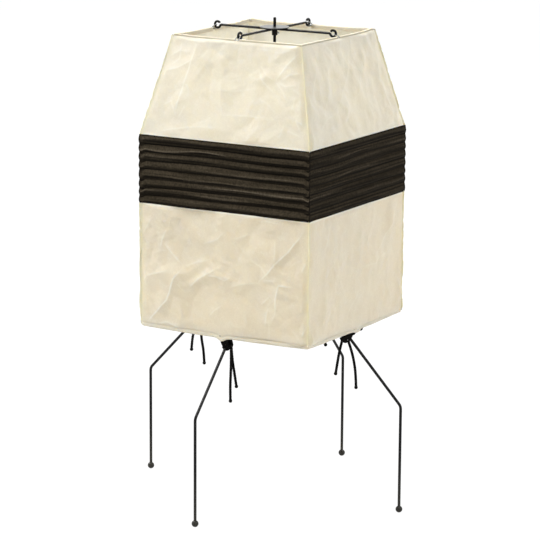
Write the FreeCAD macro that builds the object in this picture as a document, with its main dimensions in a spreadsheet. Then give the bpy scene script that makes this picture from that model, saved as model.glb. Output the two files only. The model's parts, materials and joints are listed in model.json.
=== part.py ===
import FreeCAD, Part
import math
import os

import Sketcher

# Paper table lamp: a square paper shade with a pleated band, on four wire legs.
# Origin on the floor under the middle of the shade, +Z up, front face towards -Y.
# A piece that belongs to one face is drawn facing +X and turned about Z to its side.

Vector = FreeCAD.Vector
doc = FreeCAD.newDocument("paper_table_lamp")

# Driving dimensions, in millimetres and degrees
DIMENSIONS = (
    ("shade_width", 262, "across the lower panels, outside"),
    ("top_width", 198, "across the upper panels at the top edge, outside"),
    ("tie_gap", 20, "from a leg up to the bottom hem above it"),
    ("lower_height", 173, "height of the lower panels"),
    ("band_height", 91, "height of the band"),
    ("upper_height", 135, "height of the upper panels"),
    ("paper", 0.4, "thickness of the paper"),
    ("seam_tab", 2.5, "width of the glued tabs that stand out at a corner"),
    ("glue_line", 0.05, "half of the glue between two glued papers"),
    ("glue_lap", 5, "height of the laps behind the band"),
    ("hem_flap", 8, "height of the hem inside the panel"),
    ("hem_gap", 0.3, "slack of the hem round a ring"),
    ("hem_corner", 9, "hem left off at each corner"),
    ("clip_notch", 14, "width of the notch in the top hem"),
    ("tie_notch", 20, "width of the notch in the bottom hem"),
    ("notch_rise", 5.5, "height of a notch beyond the middle of the ring"),
    ("pleat_count", 8, "pleats in the band"),
    ("pleat_depth", 2, "height of a pleat's crown"),
    ("ring_wire", 2, "diameter of the ring wire"),
    ("ring_corner", 6, "bend radius at a ring's corner"),
    ("foot_reach", 202, "from the axis to a foot"),
    ("ball_dia", 9.5, "diameter of a ball foot"),
    ("ball_socket", 6.5, "depth of the leg's hole in its ball"),
    ("leg_wire", 4, "diameter of the leg wire"),
    ("leg_knee", 150, "height where the foot and the incline would meet"),
    ("knee_radius", 10, "bend radius of the knee"),
    ("leg_apex", 364, "height where the inclines would meet on the axis"),
    ("leg_end", 5, "from the axis to a leg's upper end"),
    ("socket_fit", 0.05, "radial clearance of a wire in its socket"),
    ("hub_dia", 26, "diameter of the hub"),
    ("hub_rise", 8, "hub's upper face above the apex of the legs"),
    ("hub_height", 32, "height of the hub"),
    ("hub_chamfer", 1.5, "chamfer on the hub's rims"),
    ("rod_dia", 4, "diameter of the centre rod"),
    ("rod_socket", 10, "depth of the rod's hole in the hub"),
    ("rod_rise", 12.6, "rod's tip above the disc"),
    ("rod_tip", 0.8, "chamfer of the rod's tip"),
    ("slide_fit", 0.08, "radial clearance of the spider on the rod"),
    ("disc_dia", 40, "diameter of the spider disc"),
    ("disc_thick", 1.6, "thickness of the spider disc"),
    ("disc_rise", 6.9, "disc's upper face above the top hem"),
    ("disc_edge", 0.4, "rounding of the disc's rim"),
    ("collar_dia", 7.7, "diameter of the collar"),
    ("collar_length", 10, "height of the collar"),
    ("grub_dia", 3, "diameter of the grub screw"),
    ("grub_drop", 7, "from the disc down to the grub screw"),
    ("arm_wire", 3.3, "diameter of a spider arm"),
    ("eye_inset", 7, "from the top ring inwards to the middle of an eye"),
    ("eye_radius", 4.3, "radius of an eye at the middle of its wire"),
    ("eye_neck", 3, "bend radius where the arm dips into its eye"),
    ("eye_end", 145, "direction of the eye's cut end, from outwards"),
    ("clip_wire", 1.2, "diameter of the clip wire"),
    ("clip_curl", 245, "turn of a clip's end round the ring"),
    ("clip_fit", 0.05, "clearance of a clip on what it holds"),
    ("bracket_thick", 2, "thickness of the holder bracket"),
    ("bracket_width", 16, "width of the holder bracket"),
    ("holder_offset", 36, "from the axis to the holder, along X and along Y"),
    ("rod_nut_flats", 7, "rod nut across its flats"),
    ("rod_nut_thick", 3.2, "thickness of the rod nut"),
    ("nipple_dia", 10, "outside of the threaded nipple"),
    ("nipple_bore", 7, "cord inlet through the nipple"),
    ("nipple_below", 6, "nipple below the bracket"),
    ("nipple_above", 12, "nipple above the bracket"),
    ("nipple_nut_flats", 14, "nipple nut across its flats"),
    ("nipple_nut_thick", 3.5, "thickness of the nipple nut"),
    ("cap_base", 28, "diameter of the holder cap's base"),
    ("cap_boss", 16, "diameter of the threaded boss in the cap"),
    ("cap_shoulder", 10, "height of the cap's sloping side"),
    ("cap_height", 16, "height of the holder cap"),
    ("shell_dia", 38, "outside of the holder shell"),
    ("shell_wall", 2, "wall of the holder cap and shell"),
    ("shell_height", 46, "height of the holder shell"),
    ("mouth_dia", 30, "mouth of the holder shell"),
    ("lip", 1.5, "thickness of the lip round the mouth"),
    ("insert_lift", 2, "insert above the shell's lower edge"),
    ("insert_thick", 12, "thickness of the ceramic insert"),
    ("insert_pocket", 2, "depth of the seat for the screw shell"),
    ("socket_dia", 27, "inside of the screw shell"),
    ("socket_wall", 0.5, "sheet of the screw shell"),
    ("socket_height", 30, "height of the screw shell"),
    ("socket_floor", 18, "hole in the floor of the screw shell"),
    ("contact_head", 8, "diameter of the centre contact's head"),
    ("contact_head_thick", 2, "thickness of that head"),
    ("contact_lift", 1, "head above the insert with the bulb home"),
    ("contact_stem", 5, "diameter of the centre contact's stem"),
    ("contact_length", 8, "length of that stem"),
    ("screw_reach", 10, "from the holder's axis to a terminal screw"),
    ("screw_dia", 3.5, "diameter of a terminal screw"),
    ("screw_head", 6, "diameter of its head"),
    ("screw_head_thick", 2.6, "thickness of its head"),
    ("screw_length", 7, "length of its shank"),
    ("bulb_gap", 0.05, "bulb tip above the centre contact"),
    ("tip_dia", 9, "diameter of the bulb's tip"),
    ("tip_thick", 2, "thickness of the bulb's tip"),
    ("insulator_low", 12, "lower diameter of the bulb's insulator"),
    ("insulator_high", 23, "upper diameter of the bulb's insulator"),
    ("insulator_thick", 4, "height of the bulb's insulator"),
    ("bulb_cap_dia", 26.5, "outside of the bulb's screw cap"),
    ("bulb_cap_wall", 0.4, "sheet of the screw cap"),
    ("bulb_cap_height", 25, "height of the screw cap"),
    ("bulb_cap_floor", 16, "hole in the floor of the screw cap"),
    ("neck_dia", 25, "outside of the glass neck"),
    ("neck_in_cap", 10, "glass neck inside the screw cap"),
    ("neck_above_cap", 4, "straight neck above the screw cap"),
    ("bulb_dia", 55, "diameter of the bulb"),
    ("bulb_shoulder", 35, "slope of the bulb's shoulder, from upright"),
    ("glass", 0.8, "thickness of the glass"),
    ("cord_dia", 4, "diameter of the tie cord"),
    ("tie_inset", 8.3, "from the ring inwards to a tie's turn under its leg"),
    ("tie_fit", 0.1, "clearance of a tie on what it holds"),
    ("tie_turn", 2.2, "diameter of the cord where it is pressed under a leg"),
    ("tail_bend", 0.45, "share of a tail's straight run that each bend takes"),
    ("knot_dia", 8.4, "diameter of a knot"),
    ("knot_offset", 6.5, "knot to the side of its leg"),
    ("knot_drop", 2, "knot below the middle of its leg"),
)

sheet = doc.addObject("Spreadsheet::Sheet", "dims")
for row, (alias, number, meaning) in enumerate(DIMENSIONS, start=1):
    sheet.set(f"A{row}", meaning)
    sheet.set(f"B{row}", str(number))
    sheet.setAlias(f"B{row}", alias)
doc.recompute()


def size(expression):
    """The number that an expression over the sheet's cells comes to."""
    result = sheet.evalExpression(expression)
    return float(getattr(result, "Value", result))


# Places that several pieces share, as expressions over the sheet
HALF = "(dims.shade_width / 2)"
ROOT_2 = "sqrt(2)"
RING = "(dims.ring_wire / 2)"
HEM_INNER = f"({RING} + dims.hem_gap)"
HEM_OUTER = f"({HEM_INNER} + dims.paper)"
LEG_SLOPE = "((dims.leg_apex - dims.leg_knee) / dims.foot_reach)"
LOW_RING_X = f"({HALF} - {HEM_OUTER})"
BOTTOM_EDGE = f"(dims.leg_apex - {LOW_RING_X} * {LEG_SLOPE} + dims.tie_gap)"
LOW_RING_Z = f"({BOTTOM_EDGE} + {HEM_OUTER})"
BAND_BOTTOM = f"({BOTTOM_EDGE} + dims.lower_height)"
BAND_TOP = f"({BAND_BOTTOM} + dims.band_height)"
TOP_EDGE = f"({BAND_TOP} + dims.upper_height)"
LEAN_TAN = "((dims.shade_width - dims.top_width) / 2 / dims.upper_height)"
LEAN = f"atan({LEAN_TAN})"
TOP_RING_Z = f"({TOP_EDGE} - {HEM_OUTER})"
TOP_SEAM_Z = f"({TOP_RING_Z} + {HEM_OUTER} * sin({LEAN}))"
TOP_SEAM_X = f"({HALF} - ({TOP_SEAM_Z} - {BAND_TOP}) * {LEAN_TAN})"
TOP_RING_X = f"({TOP_SEAM_X} - {HEM_OUTER} * cos({LEAN}))"
EYE_REACH = f"({TOP_RING_X} - dims.eye_inset)"
PITCH = "(dims.band_height / dims.pleat_count)"
DISC_TOP = f"({TOP_EDGE} + dims.disc_rise)"
DISC_BOTTOM = f"({DISC_TOP} - dims.disc_thick)"
ROD_TOP = f"({DISC_TOP} + dims.rod_rise)"
ARM_Z = f"({DISC_BOTTOM} - dims.arm_wire / 2)"
HUB_TOP = "(dims.leg_apex + dims.hub_rise)"
HUB_BOTTOM = f"({HUB_TOP} - dims.hub_height)"
BRACKET_TOP = f"({HUB_TOP} + dims.bracket_thick)"
SHELL_Z = f"({BRACKET_TOP} + dims.cap_height)"
INSERT_Z = f"({SHELL_Z} + dims.insert_lift)"
SEAT_Z = f"({INSERT_Z} + dims.insert_thick - dims.insert_pocket)"
CONTACT_Z = f"({SEAT_Z} + dims.contact_lift)"
TIP_Z = f"({CONTACT_Z} + dims.contact_head_thick + dims.bulb_gap)"
INSULATOR_Z = f"({TIP_Z} + dims.tip_thick)"
BULB_CAP_Z = f"({INSULATOR_Z} + dims.insulator_thick)"
BULB_CAP_TOP = f"({BULB_CAP_Z} + dims.bulb_cap_height)"

# Quarter turns that bring a piece from +X to its side
SIDES = {"right": 0, "back": 90, "left": 180, "front": 270}

# Directions in which the holder and the grub screw lie, between two legs
HOLDER_WAY = 135
GRUB_WAY = 45

nodes = []


def keep(piece, label):
    """Name a finished sub-part and list it for writing."""
    piece.Label = label
    nodes.append(piece)
    return piece


def turned(degrees):
    return FreeCAD.Rotation(Vector(0, 0, 1), degrees)


def new_body(name, degrees=0):
    body = doc.addObject("PartDesign::Body", name)
    body.Placement = FreeCAD.Placement(Vector(), turned(degrees))
    return body


def new_sketch(body, name, role, lift=None):
    """A sketch on one of the body's own origin planes, lifted along its normal."""
    plane = next(f for f in body.Origin.OriginFeatures if f.Role == role)
    sketch = body.newObject("Sketcher::SketchObject", name)
    sketch.AttachmentSupport = [(plane, "")]
    sketch.MapMode = "FlatFace"
    if lift:
        sketch.setExpression(".AttachmentOffset.Base.z", lift)
    return sketch


def fix(sketch, geometry, point, coordinates, which="xy"):
    """Tie a point to the sketch's origin by expressions."""
    for axis, kind, text in zip("xy", ("DistanceX", "DistanceY"), coordinates):
        if axis not in which:
            continue
        if text == "0":
            line = -2 if axis == "x" else -1
            sketch.addConstraint(Sketcher.Constraint("PointOnObject", geometry, point, line))
            continue
        rule = Sketcher.Constraint(kind, -1, 1, geometry, point, size(text))
        index = sketch.addConstraint(rule)
        sketch.setExpression(f"Constraints[{index}]", text)


def draw(sketch, corners, arcs=None, closed=True):
    """Lines and arcs through corners.

    A corner is a pair of expressions. arcs[i] is the arc from corner i to the next, as its
    centre, its radius and whether it runs anticlockwise. A corner on an arc is fixed along
    one axis only, named by its third item, because the arc's circle fixes the other. An arc
    between corners that are fixed both ways names what is held besides: centre or radius.
    """
    arcs = arcs or {}
    first = sketch.GeometryCount
    places = [Vector(size(c[0]), size(c[1]), 0) for c in corners]
    count = len(corners) if closed else len(corners) - 1
    ends = {}
    for i in range(count):
        start = places[i]
        stop = places[(i + 1) % len(corners)]
        if i not in arcs:
            sketch.addGeometry(Part.LineSegment(start, stop))
            ends[i] = (1, 2)
            continue
        middle_x, middle_y, radius, anticlockwise = arcs[i][:4]
        middle = Vector(size(middle_x), size(middle_y), 0)
        angles = [math.atan2(p.y - middle.y, p.x - middle.x) for p in (start, stop)]
        if not anticlockwise:
            angles.reverse()
        circle = Part.Circle(middle, Vector(0, 0, 1), size(radius))
        sketch.addGeometry(Part.ArcOfCircle(circle, *angles))
        ends[i] = (1, 2) if anticlockwise else (2, 1)
    for i in range(count if closed else count - 1):
        after = (i + 1) % count
        joined = ("Coincident", first + i, ends[i][1], first + after, ends[after][0])
        sketch.addConstraint(Sketcher.Constraint(*joined))
    for i, corner in enumerate(corners):
        piece, end = (i, 0) if i < count else (i - 1, 1)
        fix(sketch, first + piece, ends[piece][end], corner[:2], corner[2] if len(corner) > 2 else "xy")
    for i, (middle_x, middle_y, radius, _, *held) in arcs.items():
        if held != ["radius"]:
            fix(sketch, first + i, 3, (middle_x, middle_y))
        if held != ["centre"]:
            rule = Sketcher.Constraint("Radius", first + i, size(radius))
            index = sketch.addConstraint(rule)
            sketch.setExpression(f"Constraints[{index}]", radius)


def draw_circle(sketch, x, y, radius):
    circle = Part.Circle(Vector(size(x), size(y), 0), Vector(0, 0, 1), size(radius))
    index = sketch.addGeometry(circle)
    fix(sketch, index, 3, (x, y))
    rule = sketch.addConstraint(Sketcher.Constraint("Radius", index, size(radius)))
    sketch.setExpression(f"Constraints[{rule}]", radius)


def pad(body, name, sketch, length, both_ways=False):
    feature = body.newObject("PartDesign::Pad", name)
    feature.Profile = sketch
    feature.setExpression("Length", length)
    if both_ways:
        feature.SideType = "Symmetric"
    return feature


def cut_through(body, name, sketch):
    """Cut a sketch right through the body, both ways."""
    feature = body.newObject("PartDesign::Pocket", name)
    feature.Profile = sketch
    feature.Type = "ThroughAll"
    feature.SideType = "Symmetric"
    return feature


def turn_profile(label, corners, arcs=None, at_holder=True):
    """A turned piece: its half section, as radius and height, spun about its axis."""
    body = new_body(label)
    outline = new_sketch(body, label + "_half_section", "XZ_Plane")
    draw(outline, corners, arcs)
    spin = body.newObject("PartDesign::Revolution", label + "_spin")
    spin.Profile = outline
    spin.ReferenceAxis = (outline, ["V_Axis"])
    if at_holder:
        body.setExpression("Placement.Base.x", "-dims.holder_offset")
        body.setExpression("Placement.Base.y", "dims.holder_offset")
    return keep(body, label)


def cylinder(name, radius, height, z):
    piece = doc.addObject("Part::Cylinder", name)
    piece.setExpression("Radius", radius)
    piece.setExpression("Height", height)
    piece.setExpression("Placement.Base.z", z)
    return piece


def cut(name, base, tool):
    piece = doc.addObject("Part::Cut", name)
    piece.Base = base
    piece.Tool = tool
    return piece


def fuse(name, pieces):
    piece = doc.addObject("Part::MultiFuse", name)
    piece.Shapes = pieces
    return piece


# Legs: an upright foot, one knee and a long incline into the hub
def leg_line(reach):
    """Height of a leg's incline at a distance from the axis."""
    return f"(dims.leg_apex - ({reach}) * {LEG_SLOPE})"


def make_leg(side, degrees):
    label = f"leg_{side}"
    body = new_body(label, degrees)
    lean = f"atan({LEG_SLOPE})"
    bend_drop = f"(dims.knee_radius * tan((90 - {lean} / 1deg) / 2))"
    middle_x = "(dims.foot_reach - dims.knee_radius)"
    middle_z = f"(dims.leg_knee - {bend_drop})"
    spine = new_sketch(body, label + "_line", "XZ_Plane")
    foot_z = "(dims.ball_dia - dims.ball_socket)"
    corners = (
        ("dims.foot_reach", foot_z),
        ("dims.foot_reach", middle_z, "y"),
        (
            f"{middle_x} + dims.knee_radius * sin({lean})",
            f"{middle_z} + dims.knee_radius * cos({lean})",
            "x",
        ),
        ("dims.leg_end", leg_line("dims.leg_end")),
    )
    draw(spine, corners, {1: (middle_x, middle_z, "dims.knee_radius", True)}, closed=False)
    section = new_sketch(body, label + "_section", "XY_Plane", foot_z)
    draw_circle(section, "dims.foot_reach", "0", "dims.leg_wire / 2")
    sweep = body.newObject("PartDesign::AdditivePipe", label + "_wire")
    sweep.Profile = section
    sweep.Spine = (spine, ["Edge1", "Edge2", "Edge3"])
    return keep(body, label)


def make_foot(side, degrees):
    label = f"foot_ball_{side}"
    ball = doc.addObject("Part::Sphere", label + "_ball")
    ball.setExpression("Radius", "dims.ball_dia / 2")
    hole = cylinder(
        label + "_socket",
        "dims.leg_wire / 2 + dims.socket_fit",
        "dims.ball_dia",
        "dims.ball_dia / 2 - dims.ball_socket",
    )
    foot = cut(label, ball, hole)
    angle = math.radians(degrees)
    foot.setExpression("Placement.Base.x", f"dims.foot_reach * {round(math.cos(angle))}")
    foot.setExpression("Placement.Base.y", f"dims.foot_reach * {round(math.sin(angle))}")
    foot.setExpression("Placement.Base.z", "dims.ball_dia / 2")
    return keep(foot, label)


for side, degrees in SIDES.items():
    make_leg(side, degrees)
    make_foot(side, degrees)


# Hub: a turned boss with a slanting socket for each leg and one for the rod
def make_hub():
    corners = (
        ("0", HUB_BOTTOM),
        ("dims.hub_dia / 2 - dims.hub_chamfer", HUB_BOTTOM),
        ("dims.hub_dia / 2", f"{HUB_BOTTOM} + dims.hub_chamfer"),
        ("dims.hub_dia / 2", f"{HUB_TOP} - dims.hub_chamfer"),
        ("dims.hub_dia / 2 - dims.hub_chamfer", HUB_TOP),
        ("0", HUB_TOP),
    )
    body = new_body("hub_boss")
    outline = new_sketch(body, "hub_half_section", "XZ_Plane")
    draw(outline, corners)
    spin = body.newObject("PartDesign::Revolution", "hub_spin")
    spin.Profile = outline
    spin.ReferenceAxis = (outline, ["V_Axis"])
    rod_socket = cylinder(
        "rod_socket",
        "dims.rod_dia / 2 + dims.socket_fit",
        "dims.rod_socket * 2",
        f"{HUB_TOP} - dims.rod_socket",
    )
    sockets = [rod_socket]
    slope = math.degrees(math.atan(size(LEG_SLOPE)))
    outward = FreeCAD.Rotation(Vector(0, 1, 0), 90 + slope)
    for side, degrees in SIDES.items():
        socket = cylinder(
            f"leg_socket_{side}",
            "dims.leg_wire / 2 + dims.socket_fit",
            "dims.hub_dia * 2",
            leg_line("dims.leg_end"),
        )
        angle = math.radians(degrees)
        socket.setExpression("Placement.Base.x", f"dims.leg_end * {round(math.cos(angle))}")
        socket.setExpression("Placement.Base.y", f"dims.leg_end * {round(math.sin(angle))}")
        socket.Placement = FreeCAD.Placement(Vector(), turned(degrees).multiply(outward))
        sockets.append(socket)
    return keep(cut("hub", body, fuse("hub_sockets", sockets)), "hub")


make_hub()

turn_profile(
    "stretcher_rod",
    (
        ("0", f"{HUB_TOP} - dims.rod_socket"),
        ("dims.rod_dia / 2", f"{HUB_TOP} - dims.rod_socket"),
        ("dims.rod_dia / 2", f"{ROD_TOP} - dims.rod_tip"),
        ("dims.rod_dia / 2 - dims.rod_tip", ROD_TOP),
        ("0", ROD_TOP),
    ),
    at_holder=False,
)


def make_nut(label, flats, thick, hole, bottom, at_holder):
    """A hexagon nut, standing on the height given."""
    body = new_body(label)
    outline = new_sketch(body, label + "_hexagon", "XY_Plane", bottom)
    corner = f"({flats} / sqrt(3))"
    hexagon = [
        (f"{corner} * {math.cos(math.radians(60 * i)):.9f}", f"{corner} * sin({60 * i})")
        for i in range(6)
    ]
    hexagon[0] = (corner, "0")
    hexagon[3] = (f"-{corner}", "0")
    draw(outline, hexagon)
    draw_circle(outline, "0", "0", hole)
    pad(body, label + "_pad", outline, thick)
    if at_holder:
        body.setExpression("Placement.Base.x", "-dims.holder_offset")
        body.setExpression("Placement.Base.y", "dims.holder_offset")
    return keep(body, label)


# Holder bracket: a strip with round ends, from the rod to the holder
def make_bracket():
    body = new_body("holder_bracket", HOLDER_WAY)
    outline = new_sketch(body, "bracket_outline", "XY_Plane", HUB_TOP)
    edge = "dims.bracket_width / 2"
    far = f"(dims.holder_offset * {ROOT_2})"
    corners = (
        ("0", f"-{edge}", "x"),
        (far, f"-{edge}", "x"),
        (far, edge, "x"),
        ("0", edge, "x"),
    )
    arcs = {1: (far, "0", edge, True), 3: ("0", "0", edge, True)}
    draw(outline, corners, arcs)
    draw_circle(outline, "0", "0", "dims.rod_dia / 2 + dims.socket_fit")
    draw_circle(outline, far, "0", "dims.nipple_dia / 2 + dims.socket_fit")
    pad(body, "bracket_pad", outline, "dims.bracket_thick")
    return keep(body, "holder_bracket")


make_bracket()
make_nut(
    "rod_nut",
    "dims.rod_nut_flats",
    "dims.rod_nut_thick",
    "dims.rod_dia / 2 + dims.socket_fit",
    BRACKET_TOP,
    at_holder=False,
)
make_nut(
    "nipple_nut",
    "dims.nipple_nut_flats",
    "dims.nipple_nut_thick",
    "dims.nipple_dia / 2 + dims.socket_fit",
    f"{HUB_TOP} - dims.nipple_nut_thick",
    at_holder=True,
)

# Lamp holder, from the cord inlet up
turn_profile(
    "holder_nipple",
    (
        ("dims.nipple_bore / 2", f"{HUB_TOP} - dims.nipple_below"),
        ("dims.nipple_dia / 2", f"{HUB_TOP} - dims.nipple_below"),
        ("dims.nipple_dia / 2", f"{BRACKET_TOP} + dims.nipple_above"),
        ("dims.nipple_bore / 2", f"{BRACKET_TOP} + dims.nipple_above"),
    ),
)
turn_profile(
    "holder_cap",
    (
        ("dims.nipple_dia / 2 + dims.socket_fit", BRACKET_TOP),
        ("dims.cap_base / 2", BRACKET_TOP),
        ("dims.shell_dia / 2", f"{BRACKET_TOP} + dims.cap_shoulder"),
        ("dims.shell_dia / 2", SHELL_Z),
        ("dims.shell_dia / 2 - dims.shell_wall", SHELL_Z),
        ("dims.shell_dia / 2 - dims.shell_wall", f"{BRACKET_TOP} + dims.cap_shoulder + dims.shell_wall / 2"),
        ("dims.cap_base / 2 - dims.shell_wall / 2", f"{BRACKET_TOP} + dims.shell_wall"),
        ("dims.cap_boss / 2", f"{BRACKET_TOP} + dims.shell_wall"),
        ("dims.cap_boss / 2", f"{BRACKET_TOP} + dims.nipple_above - dims.shell_wall"),
        ("dims.nipple_dia / 2 + dims.socket_fit", f"{BRACKET_TOP} + dims.nipple_above - dims.shell_wall"),
    ),
)
turn_profile(
    "holder_shell",
    (
        ("dims.shell_dia / 2 - dims.shell_wall", SHELL_Z),
        ("dims.shell_dia / 2", SHELL_Z),
        ("dims.shell_dia / 2", f"{SHELL_Z} + dims.shell_height - dims.lip"),
        ("dims.shell_dia / 2 - dims.lip / 2", f"{SHELL_Z} + dims.shell_height"),
        ("dims.mouth_dia / 2", f"{SHELL_Z} + dims.shell_height"),
        ("dims.mouth_dia / 2", f"{SHELL_Z} + dims.shell_height - dims.lip"),
        ("dims.shell_dia / 2 - dims.shell_wall", f"{SHELL_Z} + dims.shell_height - dims.lip"),
    ),
)


def make_insert():
    """The ceramic insert: seat for the screw shell, holes for the contact and two screws."""
    body = new_body("holder_insert")
    outline = new_sketch(body, "insert_half_section", "XZ_Plane")
    hole = "dims.contact_stem / 2 + dims.slide_fit"
    seat = "dims.socket_dia / 2 + dims.socket_wall + dims.socket_fit"
    outside = "dims.shell_dia / 2 - dims.shell_wall - dims.socket_fit"
    corners = (
        (hole, INSERT_Z),
        (outside, INSERT_Z),
        (outside, f"{INSERT_Z} + dims.insert_thick"),
        (seat, f"{INSERT_Z} + dims.insert_thick"),
        (seat, SEAT_Z),
        (hole, SEAT_Z),
    )
    draw(outline, corners)
    spin = body.newObject("PartDesign::Revolution", "insert_spin")
    spin.Profile = outline
    spin.ReferenceAxis = (outline, ["V_Axis"])
    holes = new_sketch(body, "insert_screw_holes", "XY_Plane", INSERT_Z)
    for way in ("dims.screw_reach", "-dims.screw_reach"):
        draw_circle(holes, way, "0", "dims.screw_dia / 2 + dims.socket_fit")
    pocket = body.newObject("PartDesign::Pocket", "insert_screw_pockets")
    pocket.Profile = holes
    pocket.Reversed = True
    pocket.setExpression("Length", "dims.screw_length + dims.socket_fit")
    body.setExpression("Placement.Base.x", "-dims.holder_offset")
    body.setExpression("Placement.Base.y", "dims.holder_offset")
    return keep(body, "holder_insert")


make_insert()
turn_profile(
    "screw_shell",
    (
        ("dims.socket_floor / 2", SEAT_Z),
        ("dims.socket_dia / 2 + dims.socket_wall", SEAT_Z),
        ("dims.socket_dia / 2 + dims.socket_wall", f"{SEAT_Z} + dims.socket_height"),
        ("dims.socket_dia / 2", f"{SEAT_Z} + dims.socket_height"),
        ("dims.socket_dia / 2", f"{SEAT_Z} + dims.socket_wall"),
        ("dims.socket_floor / 2", f"{SEAT_Z} + dims.socket_wall"),
    ),
)
turn_profile(
    "centre_contact",
    (
        ("0", f"{CONTACT_Z} - dims.contact_length"),
        ("dims.contact_stem / 2", f"{CONTACT_Z} - dims.contact_length"),
        ("dims.contact_stem / 2", CONTACT_Z),
        ("dims.contact_head / 2", CONTACT_Z),
        ("dims.contact_head / 2", f"{CONTACT_Z} + dims.contact_head_thick"),
        ("0", f"{CONTACT_Z} + dims.contact_head_thick"),
    ),
)


def make_terminal_screws():
    screws = []
    for name, way in (("line", 1), ("neutral", -1)):
        head = cylinder(
            f"{name}_screw_head",
            "dims.screw_head / 2",
            "dims.screw_head_thick",
            f"{INSERT_Z} - dims.screw_head_thick",
        )
        shank = cylinder(f"{name}_screw_shank", "dims.screw_dia / 2", "dims.screw_length", INSERT_Z)
        screw = fuse(f"{name}_screw", [head, shank])
        screw.setExpression("Placement.Base.x", f"{way} * dims.screw_reach - dims.holder_offset")
        screw.setExpression("Placement.Base.y", "dims.holder_offset")
        screws.append(screw)
    group = doc.addObject("Part::Compound", "terminal_screws")
    group.Links = screws
    return keep(group, "terminal_screws")


make_terminal_screws()

# Bulb, from its tip up
turn_profile(
    "bulb_tip",
    (
        ("0", TIP_Z),
        ("dims.tip_dia / 2 - dims.tip_thick / 2", TIP_Z),
        ("dims.tip_dia / 2", f"{TIP_Z} + dims.tip_thick / 2"),
        ("dims.tip_dia / 2", INSULATOR_Z),
        ("0", INSULATOR_Z),
    ),
)
turn_profile(
    "bulb_insulator",
    (
        ("0", INSULATOR_Z),
        ("dims.insulator_low / 2", INSULATOR_Z),
        ("dims.insulator_high / 2", BULB_CAP_Z),
        ("0", BULB_CAP_Z),
    ),
)
turn_profile(
    "bulb_cap",
    (
        ("dims.bulb_cap_floor / 2", BULB_CAP_Z),
        ("dims.bulb_cap_dia / 2", BULB_CAP_Z),
        ("dims.bulb_cap_dia / 2", BULB_CAP_TOP),
        ("dims.bulb_cap_dia / 2 - dims.bulb_cap_wall", BULB_CAP_TOP),
        ("dims.bulb_cap_dia / 2 - dims.bulb_cap_wall", f"{BULB_CAP_Z} + dims.bulb_cap_wall"),
        ("dims.bulb_cap_floor / 2", f"{BULB_CAP_Z} + dims.bulb_cap_wall"),
    ),
)


def make_bulb_glass():
    """A ball that runs down a straight shoulder, tangent to it, into the neck."""
    neck_low = f"({BULB_CAP_TOP} - dims.neck_in_cap)"
    neck_high = f"({BULB_CAP_TOP} + dims.neck_above_cap)"
    ball = "(dims.bulb_dia / 2)"
    shoulder = f"(({ball} * cos(dims.bulb_shoulder) - dims.neck_dia / 2) / sin(dims.bulb_shoulder))"
    shoulder_rise = f"({shoulder} * cos(dims.bulb_shoulder))"
    middle = f"({neck_high} + {shoulder_rise} + {ball} * sin(dims.bulb_shoulder))"
    inside = f"({ball} - dims.glass)"
    inner_neck = "(dims.neck_dia / 2 - dims.glass)"
    # The inner neck turns into the shoulder where the offset lines cross.
    inner_turn = f"({neck_high} + dims.glass * tan(dims.bulb_shoulder / 2))"
    corners = (
        ("dims.neck_dia / 2", neck_low),
        ("dims.neck_dia / 2", neck_high),
        (f"{ball} * cos(dims.bulb_shoulder)", f"{middle} - {ball} * sin(dims.bulb_shoulder)", "x"),
        ("0", f"{middle} + {ball}", "x"),
        ("0", f"{middle} + {inside}", "x"),
        (f"{inside} * cos(dims.bulb_shoulder)", f"{middle} - {inside} * sin(dims.bulb_shoulder)", "x"),
        (inner_neck, inner_turn),
        (inner_neck, neck_low),
    )
    arcs = {2: ("0", middle, ball, True), 4: ("0", middle, inside, False)}
    return turn_profile("bulb_glass", corners, arcs)


make_bulb_glass()


# Rings: square loops of wire with bent corners
def make_ring(label, reach, height):
    body = new_body(label)
    spine = new_sketch(body, label + "_line", "XY_Plane", height)
    bend = "dims.ring_corner"
    straight = f"({reach} - {bend})"
    quarter = ((1, 1), (-1, 1), (-1, -1), (1, -1))
    corners = [(reach, "0")]
    arcs = {}
    for i, (way_x, way_y) in enumerate(quarter):
        side_place = (f"{way_x} * {reach}", f"{way_y} * {straight}", "y")
        end_place = (f"{way_x} * {straight}", f"{way_y} * {reach}", "x")
        pair = (side_place, end_place) if i % 2 == 0 else (end_place, side_place)
        corners.extend(pair)
        arcs[2 * i + 1] = (f"{way_x} * {straight}", f"{way_y} * {straight}", bend, True)
    draw(spine, corners, arcs)
    section = new_sketch(body, label + "_section", "XZ_Plane")
    draw_circle(section, reach, height, RING)
    sweep = body.newObject("PartDesign::AdditivePipe", label + "_wire")
    sweep.Profile = section
    sweep.Spine = (spine, [f"Edge{i + 1}" for i in range(len(corners))])
    return keep(body, label)


make_ring("bottom_ring", LOW_RING_X, LOW_RING_Z)
make_ring("top_ring", TOP_RING_X, TOP_RING_Z)


# Paper panels
def sheet_section(half):
    """A panel cut level: a straight sheet, mitred at both corners of the shade."""
    outer = f"({half} - dims.glue_line * {ROOT_2})"
    inner = f"({half} - dims.paper - dims.glue_line * {ROOT_2})"
    thin = f"({half} - dims.paper)"
    return ((thin, inner), (half, outer), (half, f"-{outer}"), (thin, f"-{inner}"))


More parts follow.
